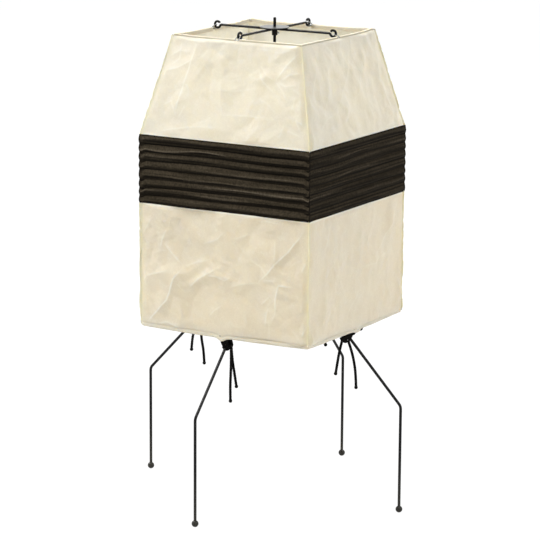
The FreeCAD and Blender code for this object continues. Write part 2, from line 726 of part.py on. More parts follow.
def tabbed_section(half):
    """The same sheet with a glued tab standing out along each diagonal."""
    inside = (f"({half} - dims.paper)", f"({half} - dims.paper - dims.glue_line * {ROOT_2})")
    tip = (
        f"({half} + (dims.seam_tab + dims.glue_line) / {ROOT_2})",
        f"({half} + (dims.seam_tab - dims.glue_line) / {ROOT_2})",
    )
    near_tip = (
        f"({half} + (dims.seam_tab + dims.glue_line + dims.paper) / {ROOT_2})",
        f"({half} + (dims.seam_tab - dims.glue_line - dims.paper) / {ROOT_2})",
    )
    fold = (half, f"({half} - (dims.glue_line + dims.paper) * {ROOT_2})")
    upper = (inside, tip, near_tip, fold)
    return upper + tuple((x, f"-{y}") for x, y in reversed(upper))


def notch_hem(body, label, width, low, high):
    """Cut the notch in the middle of a hem, right through the panel."""
    notch = new_sketch(body, label + "_notch_outline", "YZ_Plane")
    half = f"({width} / 2)"
    draw(notch, ((f"-{half}", low), (half, low), (half, high), (f"-{half}", high)))
    cut_through(body, label + "_notch", notch)


def hem_length(half):
    return f"2 * ({half} - dims.hem_corner)"


def make_lower_panel(side, degrees):
    label = f"lower_panel_{side}"
    body = new_body(label, degrees)
    section = new_sketch(body, label + "_section", "XY_Plane", LOW_RING_Z)
    draw(section, tabbed_section(HALF))
    pad(body, label + "_sheet", section, f"{BAND_BOTTOM} - {LOW_RING_Z}")
    lap = new_sketch(body, label + "_lap_section", "XY_Plane", BAND_BOTTOM)
    draw(lap, sheet_section(HALF))
    pad(body, label + "_lap", lap, "dims.glue_lap")
    hem = new_sketch(body, label + "_hem_section", "XZ_Plane")
    corners = (
        (HALF, LOW_RING_Z, "y"),
        (f"{LOW_RING_X} - {HEM_OUTER}", LOW_RING_Z, "y"),
        (f"{LOW_RING_X} - {HEM_OUTER}", f"{LOW_RING_Z} + dims.hem_flap"),
        (f"{LOW_RING_X} - {HEM_INNER}", f"{LOW_RING_Z} + dims.hem_flap"),
        (f"{LOW_RING_X} - {HEM_INNER}", LOW_RING_Z, "y"),
        (f"{LOW_RING_X} + {HEM_INNER}", LOW_RING_Z, "y"),
    )
    arcs = {
        0: (LOW_RING_X, LOW_RING_Z, HEM_OUTER, False),
        4: (LOW_RING_X, LOW_RING_Z, HEM_INNER, True),
    }
    draw(hem, corners, arcs)
    pad(body, label + "_hem", hem, hem_length(HALF), both_ways=True)
    notch_hem(
        body, label, "dims.tie_notch", f"{LOW_RING_Z} - 2 * {HEM_OUTER}", f"{LOW_RING_Z} + dims.notch_rise"
    )
    return keep(body, label)


def make_upper_panel(side, degrees):
    label = f"upper_panel_{side}"
    body = new_body(label, degrees)
    lap = new_sketch(body, label + "_lap_section", "XY_Plane", f"{BAND_TOP} - dims.glue_lap")
    draw(lap, sheet_section(HALF))
    pad(body, label + "_lap", lap, "dims.glue_lap")
    low = new_sketch(body, label + "_low_section", "XY_Plane", BAND_TOP)
    draw(low, tabbed_section(HALF))
    high = new_sketch(body, label + "_high_section", "XY_Plane", TOP_SEAM_Z)
    draw(high, tabbed_section(TOP_SEAM_X))
    loft = body.newObject("PartDesign::AdditiveLoft", label + "_sheet")
    loft.Profile = low
    loft.Sections = [high]
    loft.Ruled = True
    hem = new_sketch(body, label + "_hem_section", "XZ_Plane")
    corners = (
        (TOP_SEAM_X, TOP_SEAM_Z, "y"),
        (f"{TOP_RING_X} - {HEM_OUTER}", TOP_RING_Z, "y"),
        (f"{TOP_RING_X} - {HEM_OUTER}", f"{TOP_RING_Z} - dims.hem_flap"),
        (f"{TOP_RING_X} - {HEM_INNER}", f"{TOP_RING_Z} - dims.hem_flap"),
        (f"{TOP_RING_X} - {HEM_INNER}", TOP_RING_Z, "y"),
        (
            f"{TOP_RING_X} + {HEM_INNER} * cos({LEAN})",
            f"{TOP_RING_Z} + {HEM_INNER} * sin({LEAN})",
            "y",
        ),
    )
    arcs = {
        0: (TOP_RING_X, TOP_RING_Z, HEM_OUTER, True),
        4: (TOP_RING_X, TOP_RING_Z, HEM_INNER, False),
    }
    draw(hem, corners, arcs)
    pad(body, label + "_hem", hem, hem_length(TOP_SEAM_X), both_ways=True)
    notch_hem(
        body, label, "dims.clip_notch", f"{TOP_RING_Z} - dims.notch_rise", f"{TOP_RING_Z} + 2 * {HEM_OUTER}"
    )
    return keep(body, label)


def make_band_panel(side, degrees):
    """Round pleats one above another, mitred into the neighbours at the corners."""
    label = f"band_panel_{side}"
    body = new_body(label, degrees)
    crown = f"(({PITCH} ^ 2 / 4 + dims.pleat_depth ^ 2) / (2 * dims.pleat_depth))"
    hollow = f"({crown} - dims.paper)"
    middle_x = f"({HALF} + dims.glue_line - sqrt({hollow} ^ 2 - {PITCH} ^ 2 / 4))"
    middle_z = f"({BAND_BOTTOM} + {PITCH} / 2)"
    inner = f"({HALF} + dims.glue_line)"
    outer = f"({middle_x} + sqrt({crown} ^ 2 - {PITCH} ^ 2 / 4))"
    top = f"({BAND_BOTTOM} + {PITCH})"
    corners = (
        (inner, BAND_BOTTOM, "y"),
        (outer, BAND_BOTTOM, "y"),
        (outer, top, "y"),
        (inner, top, "y"),
    )
    arcs = {1: (middle_x, middle_z, crown, True), 3: (middle_x, middle_z, hollow, False)}
    pleat = new_sketch(body, label + "_pleat_section", "XZ_Plane")
    draw(pleat, corners, arcs)
    reach = f"({HALF} + 2 * dims.pleat_depth + 2 * dims.paper)"
    first = pad(body, label + "_pleat", pleat, f"2 * {reach}", both_ways=True)
    stack = body.newObject("PartDesign::LinearPattern", label + "_pleats")
    stack.Originals = [first]
    stack.Direction = (next(f for f in body.Origin.OriginFeatures if f.Role == "Z_Axis"), [""])
    stack.setExpression("Length", f"dims.band_height - {PITCH}")
    stack.setExpression("Occurrences", "dims.pleat_count")
    body.Tip = stack
    mitre = new_sketch(body, label + "_mitre_outline", "XY_Plane")
    shift = f"dims.glue_line * {ROOT_2}"
    near = f"({HALF} - dims.pleat_depth)"
    far = f"({reach} + dims.pleat_depth)"
    draw(mitre, ((near, f"{near} - {shift}"), (far, f"{far} - {shift}"), (near, f"{far} - {shift}")))
    draw(mitre, ((near, f"{shift} - {near}"), (near, f"{shift} - {far}"), (far, f"{shift} - {far}")))
    body.Tip = cut_through(body, label + "_mitre", mitre)
    return keep(body, label)


for side, degrees in SIDES.items():
    make_lower_panel(side, degrees)
    make_band_panel(side, degrees)
    make_upper_panel(side, degrees)

# Spider: disc, collar with its grub screw, four arms and their clips
turn_profile(
    "spider_disc",
    (
        ("dims.rod_dia / 2 + dims.slide_fit", DISC_BOTTOM),
        ("dims.disc_dia / 2 - dims.disc_edge", DISC_BOTTOM),
        ("dims.disc_dia / 2", f"{DISC_BOTTOM} + dims.disc_edge"),
        ("dims.disc_dia / 2", f"{DISC_TOP} - dims.disc_edge"),
        ("dims.disc_dia / 2 - dims.disc_edge", DISC_TOP),
        ("dims.rod_dia / 2 + dims.slide_fit", DISC_TOP),
    ),
    at_holder=False,
)


def make_collar():
    bottom = f"{DISC_BOTTOM} - dims.collar_length"
    tube = cylinder("collar_tube", "dims.collar_dia / 2", "dims.collar_length", bottom)
    bore = cylinder("collar_bore", "dims.rod_dia / 2 + dims.slide_fit", "dims.collar_length", bottom)
    grub_z = f"{DISC_BOTTOM} - dims.grub_drop"
    thread = cylinder("collar_thread", "dims.grub_dia / 2 + dims.socket_fit", "dims.collar_dia", grub_z)
    sideways = turned(GRUB_WAY).multiply(FreeCAD.Rotation(Vector(0, 1, 0), 90))
    thread.Placement = FreeCAD.Placement(Vector(), sideways)
    keep(cut("spider_collar", tube, fuse("collar_holes", [bore, thread])), "spider_collar")
    grub = cylinder("collar_grub_screw", "dims.grub_dia / 2", "dims.collar_dia / 2", grub_z)
    start = "(dims.rod_dia / 2 + dims.slide_fit)"
    grub.setExpression("Placement.Base.x", f"{start} / {ROOT_2}")
    grub.setExpression("Placement.Base.y", f"{start} / {ROOT_2}")
    grub.Placement = FreeCAD.Placement(Vector(), sideways)
    keep(grub, "collar_grub_screw")


make_collar()


def make_arm(side, degrees):
    """A straight wire that dips and curls up into an open eye."""
    label = f"spider_arm_{side}"
    body = new_body(label, degrees)
    start = "(dims.collar_dia / 2)"
    reach = "(dims.eye_neck + dims.eye_radius)"
    dip_x = f"({EYE_REACH} - sqrt({reach} ^ 2 - dims.eye_neck ^ 2))"
    dip_z = f"({ARM_Z} - dims.eye_neck)"
    join_x = f"({dip_x} + ({EYE_REACH} - {dip_x}) * dims.eye_neck / {reach})"
    join_z = f"({dip_z} + dims.eye_neck * dims.eye_neck / {reach})"
    end_x = f"({EYE_REACH} + dims.eye_radius * cos(dims.eye_end))"
    end_z = f"({ARM_Z} + dims.eye_radius * sin(dims.eye_end))"
    spine = new_sketch(body, label + "_line", "XZ_Plane")
    corners = (
        (start, ARM_Z),
        (dip_x, ARM_Z),
        (join_x, join_z),
        (end_x, end_z, "x"),
    )
    arcs = {
        1: (dip_x, dip_z, "dims.eye_neck", False, "radius"),
        2: (EYE_REACH, ARM_Z, "dims.eye_radius", True, "centre"),
    }
    draw(spine, corners, arcs, closed=False)
    section = new_sketch(body, label + "_section", "YZ_Plane", start)
    draw_circle(section, "0", ARM_Z, "dims.arm_wire / 2")
    sweep = body.newObject("PartDesign::AdditivePipe", label + "_wire")
    sweep.Profile = section
    sweep.Spine = (spine, ["Edge1", "Edge2", "Edge3"])
    return keep(body, label)


for side, degrees in SIDES.items():
    make_arm(side, degrees)


def bent_wire(edges, diameter):
    """A round wire along straight runs and arcs that meet smoothly."""
    runs = []
    for edge in edges:
        start = edge.valueAt(edge.FirstParameter)
        along = edge.tangentAt(edge.FirstParameter)
        section = Part.Face(Part.Wire([Part.makeCircle(diameter / 2, start, along)]))
        if isinstance(edge.Curve, Part.Circle):
            turn = math.degrees(edge.LastParameter - edge.FirstParameter)
            runs.append(section.revolve(edge.Curve.Center, edge.Curve.Axis, turn))
        else:
            runs.append(section.extrude(edge.valueAt(edge.LastParameter) - start))
    return runs[0].fuse(runs[1:])


def make_clips():
    """Each clip goes through an eye as a U, and both its ends curl round the bare ring."""
    wire = size("dims.clip_wire")
    fit = size("dims.clip_fit")
    eye_hole = size("dims.eye_radius - dims.arm_wire / 2")
    start = Vector(size(EYE_REACH) + eye_hole - wire / 2 - fit, 0, size(ARM_Z))
    ring = Vector(size(TOP_RING_X), 0, size(TOP_RING_Z))
    curl = size(RING) + wire / 2 + fit
    across = size("dims.arm_wire / 2") + wire / 2 + fit
    away = ring - start
    heading = math.atan2(away.z, away.x) + math.asin(curl / away.Length)
    along = Vector(math.cos(heading), 0, math.sin(heading))
    first_angle = heading + math.pi / 2
    turn = math.radians(size("dims.clip_curl"))

    def on_curl(share, side):
        angle = first_angle - share * turn
        return ring + Vector(curl * math.cos(angle), side * across, curl * math.sin(angle))

    def beside(side):
        return start + along * across + Vector(0, side * across, 0)

    edges = [
        Part.Arc(on_curl(1, 1), on_curl(0.5, 1), on_curl(0, 1)).toShape(),
        Part.LineSegment(on_curl(0, 1), beside(1)).toShape(),
        Part.Arc(beside(1), start, beside(-1)).toShape(),
        Part.LineSegment(beside(-1), on_curl(0, -1)).toShape(),
        Part.Arc(on_curl(0, -1), on_curl(0.5, -1), on_curl(1, -1)).toShape(),
    ]
    clip = bent_wire(edges, wire)
    clips = []
    for degrees in SIDES.values():
        turned_clip = clip.copy()
        turned_clip.rotate(Vector(), Vector(0, 0, 1), degrees)
        clips.append(turned_clip)
    group = doc.addObject("Part::Feature", "rim_clips")
    group.Shape = Part.makeCompound(clips)
    group.Placement = FreeCAD.Placement()
    return keep(group, "rim_clips")


make_clips()


# Ties: two loops of cord over the bare ring and down past the leg, a turn under the leg
# that joins them, and a knot at one side of it
KNOT_SIDE = {"right": -1, "back": -1, "left": -1, "front": 1}
TIE_REACH = f"({LOW_RING_X} - dims.tie_inset)"


def knot_place(side):
    """Middle of a side's knot, on the lamp."""
    beside = KNOT_SIDE[side] * size("dims.knot_offset")
    height = size(f"{leg_line(TIE_REACH)} - dims.knot_drop")
    return turned(SIDES[side]).multVec(Vector(size(TIE_REACH), beside, height))


def make_lashing(side, degrees):
    label = f"tie_lashing_{side}"
    cord = size("dims.cord_dia")
    fit = size("dims.tie_fit")
    ring = Vector(size(LOW_RING_X), 0, size(LOW_RING_Z))
    leg = Vector(size(TIE_REACH), 0, size(leg_line(TIE_REACH)))
    over_ring = size(RING) + fit + cord / 2
    round_leg = size("dims.leg_wire / 2") + fit + cord / 2
    down = leg - ring
    lean = math.atan2(down.z, down.x)
    open_angle = math.acos((over_ring - round_leg) / down.Length)

    def around(middle, radius, angle, across):
        return middle + Vector(radius * math.cos(angle), across, radius * math.sin(angle))

    loops = []
    for way in (1, -1):
        across = way * round_leg
        ring_a = around(ring, over_ring, lean + open_angle, across)
        ring_b = around(ring, over_ring, lean - open_angle, across)
        leg_a = around(leg, round_leg, lean + open_angle, across)
        leg_b = around(leg, round_leg, lean - open_angle, across)
        top = around(ring, over_ring, lean + math.pi, across)
        bottom = around(leg, round_leg, lean, across)
        edges = [
            Part.LineSegment(leg_b, ring_b).toShape(),
            Part.Arc(ring_b, top, ring_a).toShape(),
            Part.LineSegment(ring_a, leg_a).toShape(),
            Part.Arc(leg_a, bottom, leg_b).toShape(),
        ]
        loops.append(bent_wire(edges, cord))
    low = around(leg, round_leg, lean, -round_leg)
    bar = Part.makeCylinder(size("dims.tie_turn / 2"), 2 * round_leg, low, Vector(0, 1, 0))
    beside = Vector(0, KNOT_SIDE[side] * size("dims.knot_offset"), -size("dims.knot_drop"))
    knot = Part.makeSphere(size("dims.knot_dia / 2"), leg + beside)
    lashing = doc.addObject("Part::Feature", label)
    lashing.Shape = loops[0].fuse([loops[1], bar, knot])
    lashing.Placement = FreeCAD.Placement(Vector(), turned(degrees))
    return keep(lashing, label)


for side, degrees in SIDES.items():
    make_lashing(side, degrees)

# Cord tails: routes chosen by hand, from inside the knot to the sealed end, each place as
# the way along X, Y and Z from the middle of its knot
TAILS = {
    ("front", "long"): (
        (0.9, -1.9, -2.8),
        (1.8, -3, -20),
        (1.4, -3.5, -39),
        (0, -2.5, -58),
        (0.3, -2, -76),
    ),
    ("front", "short"): (
        (-0.9, 2, -2.8),
        (0.8, 1.5, -19),
        (4.7, 0.5, -35.5),
        (8.4, 0, -55),
    ),
    ("right", "short"): (
        (-2.4, -1.6, -2.6),
        (-7.5, -7.2, -15.3),
        (-9, -9.2, -30.5),
        (-10, -12.3, -46.3),
    ),
    ("right", "long"): (
        (2, 1.3, -2.8),
        (5, 5.5, -17),
        (7, 9.8, -35.3),
        (8.5, 11.3, -52.3),
        (8.8, 11.8, -68.5),
    ),
    ("left", "short"): (
        (-0.4, -2, -2.8),
        (-2.5, -11, -14),
        (-4.5, -16.5, -27),
        (-5, -17.5, -44.8),
    ),
    ("left", "long"): (
        (-0.9, 2, -2.8),
        (-2.5, 3, -16),
        (-4, 7, -34),
        (-5, 15.1, -55),
        (-5.2, 16.7, -72),
    ),
    ("back", "long"): (
        (2.1, 0, -2.8),
        (2.5, 2, -16.8),
        (5, 4, -31.8),
        (7, 5, -48.8),
    ),
    ("back", "short"): (
        (-2.1, 0.4, -2.8),
        (-4, 2, -14.8),
        (-6, 3, -26.8),
        (-6.5, 3, -38.8),
    ),
}


def make_tail(side, name, places):
    """Straight runs joined by arcs as large as the runs allow."""
    label = f"tie_tail_{side}_{name}"
    knot = knot_place(side)
    points = [knot + Vector(*place) for place in places]
    runs = [b - a for a, b in zip(points, points[1:])]
    edges = []
    radii = []
    start = points[0]
    for i, corner in enumerate(points[1:-1]):
        turn = runs[i].getAngle(runs[i + 1])
        trim = size("dims.tail_bend") * min(runs[i].Length, runs[i + 1].Length)
        radius = trim / math.tan(turn / 2)
        radii.append(round(radius))
        into = Vector(runs[i]).normalize()
        out = Vector(runs[i + 1]).normalize()
        arc_start = corner - into * trim
        arc_end = corner + out * trim
        inward = (out - into).normalize()
        middle = corner + inward * (radius / math.cos(turn / 2) - radius)
        edges.append(Part.LineSegment(start, arc_start).toShape())
        edges.append(Part.Arc(arc_start, middle, arc_end).toShape())
        start = arc_end
    edges.append(Part.LineSegment(start, points[-1]).toShape())
    tail = doc.addObject("Part::Feature", label)
    tail.Shape = bent_wire(edges, size("dims.cord_dia"))
    tail.Placement = FreeCAD.Placement()
    length = sum(edge.Length for edge in edges)
    section = math.pi * size("dims.cord_dia / 2") ** 2
    share = tail.Shape.Volume / (section * length)
    print(f"{label}: {length:.1f} mm long, bend radii {radii} mm, {share:.3f} of section times length")
    return keep(tail, label)


for (side, name), places in TAILS.items():
    make_tail(side, name, places)

doc.recompute()

# Nothing is written unless every object and every shape is sound
for piece in doc.Objects:
    if "Invalid" in piece.State or "Error" in piece.State:
        raise RuntimeError(f"{piece.Label} failed: {piece.State}")
for piece in nodes:
    if piece.Shape.isNull() or not piece.Shape.isValid() or not piece.Shape.Solids:
        raise RuntimeError(f"{piece.Label} has no sound shape")

os.makedirs("parts", exist_ok=True)
for piece in nodes:
    piece.Shape.exportStep(f"parts/{piece.Label}.step")
print(len(nodes), "sub-parts,", sum(len(piece.Shape.Solids) for piece in nodes), "solids")
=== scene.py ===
# %% [markdown]
# # A paper table lamp, built around its CAD frame
#
# The lamp is a square paper lantern on four bent wires. Metal parts come from CAD and only need
# a finish. Paper and cord are soft, so each soft CAD solid is hidden here, and a piece that is
# folded, creased or braided like the real one takes its place.

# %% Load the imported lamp
import json
import math

import bpy
import numpy as np
from mathutils import Matrix, Vector


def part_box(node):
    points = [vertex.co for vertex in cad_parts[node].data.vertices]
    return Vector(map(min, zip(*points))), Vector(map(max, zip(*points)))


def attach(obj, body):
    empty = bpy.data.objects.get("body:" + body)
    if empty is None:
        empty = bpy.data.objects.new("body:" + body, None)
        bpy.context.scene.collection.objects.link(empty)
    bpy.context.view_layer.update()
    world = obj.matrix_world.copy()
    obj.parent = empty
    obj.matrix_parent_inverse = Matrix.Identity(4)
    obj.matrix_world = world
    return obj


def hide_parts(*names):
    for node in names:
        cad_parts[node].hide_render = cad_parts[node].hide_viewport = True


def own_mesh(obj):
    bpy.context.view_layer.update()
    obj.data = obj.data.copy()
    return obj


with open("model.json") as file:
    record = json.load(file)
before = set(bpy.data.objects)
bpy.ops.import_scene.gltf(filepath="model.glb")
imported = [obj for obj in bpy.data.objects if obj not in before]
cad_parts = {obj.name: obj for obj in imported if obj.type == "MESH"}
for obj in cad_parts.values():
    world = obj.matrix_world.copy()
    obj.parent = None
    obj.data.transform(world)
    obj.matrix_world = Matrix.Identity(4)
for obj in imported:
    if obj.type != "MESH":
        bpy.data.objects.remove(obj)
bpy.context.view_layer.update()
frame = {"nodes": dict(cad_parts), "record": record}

MM = 0.001

# %% [markdown]
# ## The camera
#
# The photograph was taken from far away with a long lens, a little to the right of the front
# face and above the band. The camera's three axes are written out, so that its slight roll is
# explicit and nothing has to be aimed by eye.

# %% Camera
AZIMUTH = math.radians(30.531)
ELEVATION = math.radians(12.224)
ROLL = math.radians(0.360)
EYE = Vector((1.8481, -3.1420, 1.1054))
FOCAL_PIXELS = 2703.36
PICTURE_PIXELS = 540
SENSOR_WIDTH = 36
FAR_CLIP = 100

backward = Vector((
    math.sin(AZIMUTH) * math.cos(ELEVATION),
    -math.cos(AZIMUTH) * math.cos(ELEVATION),
    math.sin(ELEVATION),
))
level = Vector((math.cos(AZIMUTH), math.sin(AZIMUTH), 0))
upright = level.cross(-backward)
rightward = level * math.cos(ROLL) + upright * math.sin(ROLL)
upward = upright * math.cos(ROLL) - level * math.sin(ROLL)
lens = bpy.data.cameras.new("camera")
lens.sensor_width = SENSOR_WIDTH
lens.lens = FOCAL_PIXELS / PICTURE_PIXELS * SENSOR_WIDTH
lens.clip_end = FAR_CLIP
camera = bpy.data.objects.new("camera", lens)
bpy.context.scene.collection.objects.link(camera)
turn = Matrix((rightward, upward, backward)).transposed()
camera.matrix_world = Matrix.Translation(EYE) @ turn.to_4x4()
bpy.context.scene.camera = camera
print("camera", tuple(round(x, 3) for x in EYE), "lens", round(lens.lens, 1), "mm")

# %% [markdown]
# ## Helpers for nodes
#
# Shaders and Geometry Nodes are both trees of nodes, and writing out each node and link takes
# many lines. A few helpers do it instead: one adds a node, sets its options and joins or fills
# its inputs, and the others name common steps, so that each tree below reads like a list.


# %% Node helpers
def add(tree, kind, options=(), *inputs, **named):
    """Add a node. Inputs go by place, or by name with _ for a space: a socket is joined, a number is set."""
    node = tree.nodes.new(kind)
    for name, value in dict(options).items():
        setattr(node, name, value)
    for place, value in [*enumerate(inputs), *named.items()]:
        socket = node.inputs[place if isinstance(place, int) else place.replace("_", " ")]
        if isinstance(value, bpy.types.NodeSocket):
            tree.links.new(value, socket)
        else:
            socket.default_value = value
    return node


def math_node(tree, operation, *inputs):
    return add(tree, "ShaderNodeMath", {"operation": operation}, *inputs).outputs[0]


def vector_node(tree, operation, *inputs):
    return add(tree, "ShaderNodeVectorMath", {"operation": operation}, *inputs).outputs["Vector"]


def span(tree, value, low, high):
    """Stretch a 0 to 1 value to another range."""
    return add(tree, "ShaderNodeMapRange", (), value, 0.0, 1.0, low, high).outputs["Result"]


def smooth_step(tree, value, none, full):
    """0 where a value is at none, 1 where it is at full, with a soft change between."""
    smooth = {"interpolation_type": "SMOOTHSTEP"}
    return add(tree, "ShaderNodeMapRange", smooth, value, none, full, 0.0, 1.0).outputs["Result"]


def blank_material(name):
    material = bpy.data.materials.new(name)
    material.use_nodes = True
    material.node_tree.nodes.clear()
    return material, material.node_tree


def finish_material(tree, shader):
    output = add(tree, "ShaderNodeOutputMaterial")
    tree.links.new(shader, output.inputs["Surface"])


print("helpers: add, math_node, vector_node, span, smooth_step, blank_material, finish_material")

# %% [markdown]
# ## Floor and light
#
# The lamp stands on a plain white ground. The floor really catches the soft shadow, and for the
# camera, and in reflections, it is lifted towards white with Light Path, so no extra light falls
# on the lamp.

# %% Floor and world
bpy.context.scene.view_settings.view_transform = "Standard"
WHITE = (1, 1, 1, 1)
AMBIENT = 0.20
FLOOR_SIZE = 30
FLOOR_GREY = (0.74, 0.74, 0.74, 1)
FLOOR_ROUGHNESS = 0.9
FLOOR_GLOW = 1.07
FLOOR_LIFT = 0.92


def seen_directly(tree):
    """1 for rays from the camera and in mirror-like reflections, 0 for the light itself."""
    path = add(tree, "ShaderNodeLightPath")
    shiny = math_node(tree, "MAXIMUM", path.outputs["Is Glossy Ray"], path.outputs["Is Transmission Ray"])
    return math_node(tree, "MAXIMUM", path.outputs["Is Camera Ray"], shiny)


world = bpy.data.worlds.new("studio")
world.use_nodes = True
sky = world.node_tree
sky.nodes.clear()
dome = add(sky, "ShaderNodeBackground", (), WHITE, AMBIENT)
white = add(sky, "ShaderNodeBackground", (), WHITE, 1.0)
mixed = add(sky, "ShaderNodeMixShader", (), seen_directly(sky), dome.outputs[0], white.outputs[0])
sky.links.new(mixed.outputs[0], add(sky, "ShaderNodeOutputWorld").inputs["Surface"])
bpy.context.scene.world = world

floor_mesh = bpy.data.meshes.new("floor")
reach = FLOOR_SIZE / 2
corners = [(-reach, -reach, 0), (reach, -reach, 0), (reach, reach, 0), (-reach, reach, 0)]
floor_mesh.from_pydata(corners, [], [(0, 1, 2, 3)])
floor = bpy.data.objects.new("floor", floor_mesh)
bpy.context.scene.collection.objects.link(floor)
floor_finish, tree = blank_material("floor_white")
paint = add(tree, "ShaderNodeBsdfPrincipled", Base_Color=FLOOR_GREY, Roughness=FLOOR_ROUGHNESS)
glow = add(tree, "ShaderNodeEmission", (), WHITE, FLOOR_GLOW)
lift = math_node(tree, "MULTIPLY", seen_directly(tree), FLOOR_LIFT)
lifted = add(tree, "ShaderNodeMixShader", (), lift, paint.outputs[0], glow.outputs[0])
finish_material(tree, lifted.outputs[0])
floor_mesh.materials.append(floor_finish)
print("floor", FLOOR_SIZE, "m across under a plain white world")

# %% [markdown]
# Three softboxes light the lamp. The key, high at the left in front, rakes over the front
# panel's creases. A broad, weaker one fills the right face from lower down. A large one behind
# lights the back of the shade, and through the thin paper also the inside, which the opening
# at the top shows. Each is given as azimuth from the front and elevation in degrees, distance
# and width in metres, and watts.

# %% Softboxes
LAMP_MIDDLE = Vector((0, 0, 0.42))
SOFTBOXES = {
    "key_softbox": (-48, 53, 3.0, 1.1, 83),
    "fill_softbox": (88, 30, 3.2, 2.4, 38),
    "back_softbox": (189, 56, 3.4, 2.4, 103),
}
for name, (azimuth, elevation, distance, width, watts) in SOFTBOXES.items():
    box = bpy.data.lights.new(name, "AREA")
    box.size = width
    box.energy = watts
    lamp = bpy.data.objects.new(name, box)
    bpy.context.scene.collection.objects.link(lamp)
    a, e = math.radians(azimuth), math.radians(elevation)
    towards = Vector((math.sin(a) * math.cos(e), -math.cos(a) * math.cos(e), math.sin(e)))
    lamp.location = LAMP_MIDDLE + towards * distance
    lamp.rotation_euler = towards.to_track_quat("Z", "Y").to_euler()
print(len(SOFTBOXES), "softboxes:", ", ".join(SOFTBOXES))

# %% [markdown]
# ## Shared surface effects
#
# Handmade paper, dark paper and cord all show fibres; wires and sheet metal both show fine
# rubbing. Each effect is a node group with its own sizes, built once and placed in every
# material that needs it. A fibre is drawn where slow noise crosses its middle value: such a
# contour is one long, thin, winding line, as a plant fibre is.


# %% Node groups
FIBRE_SEEDS = (3.1, 7.7)
TOOTH_SCALE, GRAIN_SCALE, RIPPLE_SCALE = 1400.0, 380.0, 900.0


def new_group(name, inputs, outputs):
    group = bpy.data.node_groups.new(name, "ShaderNodeTree")
    for title, value in inputs.items():
        socket = group.interface.new_socket(title, in_out="INPUT", socket_type="NodeSocketFloat")
        socket.default_value = value
    for title in outputs:
        group.interface.new_socket(title, in_out="OUTPUT", socket_type="NodeSocketFloat")
    return group, group.nodes.new("NodeGroupInput"), group.nodes.new("NodeGroupOutput")


def fibre_lines(tree, place, scale, width, seed):
    """Thin winding lines, 1 on a line and 0 between lines."""
    shifted = vector_node(tree, "ADD", place, (seed, seed * 2.0, seed * 3.0))
    slow = add(tree, "ShaderNodeTexNoise", (), shifted, Scale=scale, Detail=1.5, Distortion=1.2)
    off = math_node(tree, "ABSOLUTE", math_node(tree, "SUBTRACT", slow.outputs["Fac"], 0.5))
    return math_node(tree, "SUBTRACT", 1.0, smooth_step(tree, off, 0.0, width))


def build_fibre_group():
    sizes = {"Fibre scale": 90.0, "Fibre width": 0.02, "Cloud scale": 26.0}
    group, start, end = new_group("plant_fibres", sizes, ("Fibres", "Clouds", "Tooth", "Grain"))
    scale, width = start.outputs["Fibre scale"], start.outputs["Fibre width"]
    place = add(group, "ShaderNodeTexCoord").outputs["Object"]
    fibres = [fibre_lines(group, place, scale, width, seed) for seed in FIBRE_SEEDS]
    group.links.new(math_node(group, "MAXIMUM", *fibres), end.inputs["Fibres"])
    noises = {
        "Clouds": {"Scale": start.outputs["Cloud scale"], "Detail": 5.0, "Roughness": 0.6},
        "Tooth": {"Scale": TOOTH_SCALE, "Detail": 3.0},
        "Grain": {"Scale": GRAIN_SCALE, "Detail": 2.0, "Roughness": 0.7},
    }
    for title, settings in noises.items():
        noise = add(group, "ShaderNodeTexNoise", (), place, **settings)
        group.links.new(noise.outputs["Fac"], end.inputs[title])
    return group


def build_rub_group():
    group, start, end = new_group("fine_rubbing", {"Scale": 300.0}, ("Rub", "Ripple"))
    scale = start.outputs["Scale"]
    place = add(group, "ShaderNodeTexCoord").outputs["Object"]
    rub = add(group, "ShaderNodeTexNoise", (), place, Scale=scale, Detail=6.0, Roughness=0.7)
    group.links.new(rub.outputs["Fac"], end.inputs["Rub"])
    ripple = add(group, "ShaderNodeTexNoise", (), place, Scale=RIPPLE_SCALE, Detail=1.0)
    group.links.new(ripple.outputs["Fac"], end.inputs["Ripple"])
    return group


plant_fibres = build_fibre_group()
fine_rubbing = build_rub_group()


def use_group(tree, group, **named):
    return add(tree, "ShaderNodeGroup", {"node_tree": group}, **named).outputs


def blend(tree, share, one, two):
    mix = add(tree, "ShaderNodeMix", {"data_type": "RGBA"}, share)
    for socket, colour in zip((s for s in mix.inputs if s.type == "RGBA"), (one, two)):
        if isinstance(colour, bpy.types.NodeSocket):
            tree.links.new(colour, socket)
        else:
            socket.default_value = (*colour, 1)
    return next(s for s in mix.outputs if s.type == "RGBA")


print("groups:", plant_fibres.name, "and", fine_rubbing.name)

# %% [markdown]
# ## Paper and cord finishes
#
# The cream paper is matte, with faint clouds, scattered fibres and a fine tooth. Where two
# sheets are glued into a corner fin the paper is double and yellower. Crests are paler, partly as
# wear and partly as a painted highlight. At the hems the paper is darker where the wire shows
# through, and it is painted darker as shade under the rolls and in the recess below the top hem.
# The mesh carries these as attributes: seam, crest, and one for the wire and the shade. The upper
# panels get a paler copy of the paper, which is painted light from above. The inside of the cream
# sheets gets a still paler copy, also painted light, which lets more light through as well. The
# dark paper is dyed brown-black. In its tucks, at its pinched seams and over its right and back
# faces it is painted darker as shade, which the mesh carries as fold, and where each pleat turns
# it carries a painted highlight as crest.


# %% Paper materials
CLOUD_SPAN = (-0.4, 1.3)
FIBRE_SHARE = 0.35
# Darkening at the hems: wire showing through the paper, and painted shade under the rolls.
WIRE_AND_SHADE_SHARE = 0.8
WIRE_AND_SHADE_COLOUR = (0.42, 0.38, 0.27)
RAISED_FIBRE = 0.5
TOOTH_STRENGTH, TOOTH_HEIGHT = 0.35, 0.00012
PAPER_ROUGHNESS = (0.79, 0.91)
SCATTER_WEIGHT = 0.85
SCATTER_RADIUS = (1.0, 0.88, 0.68)


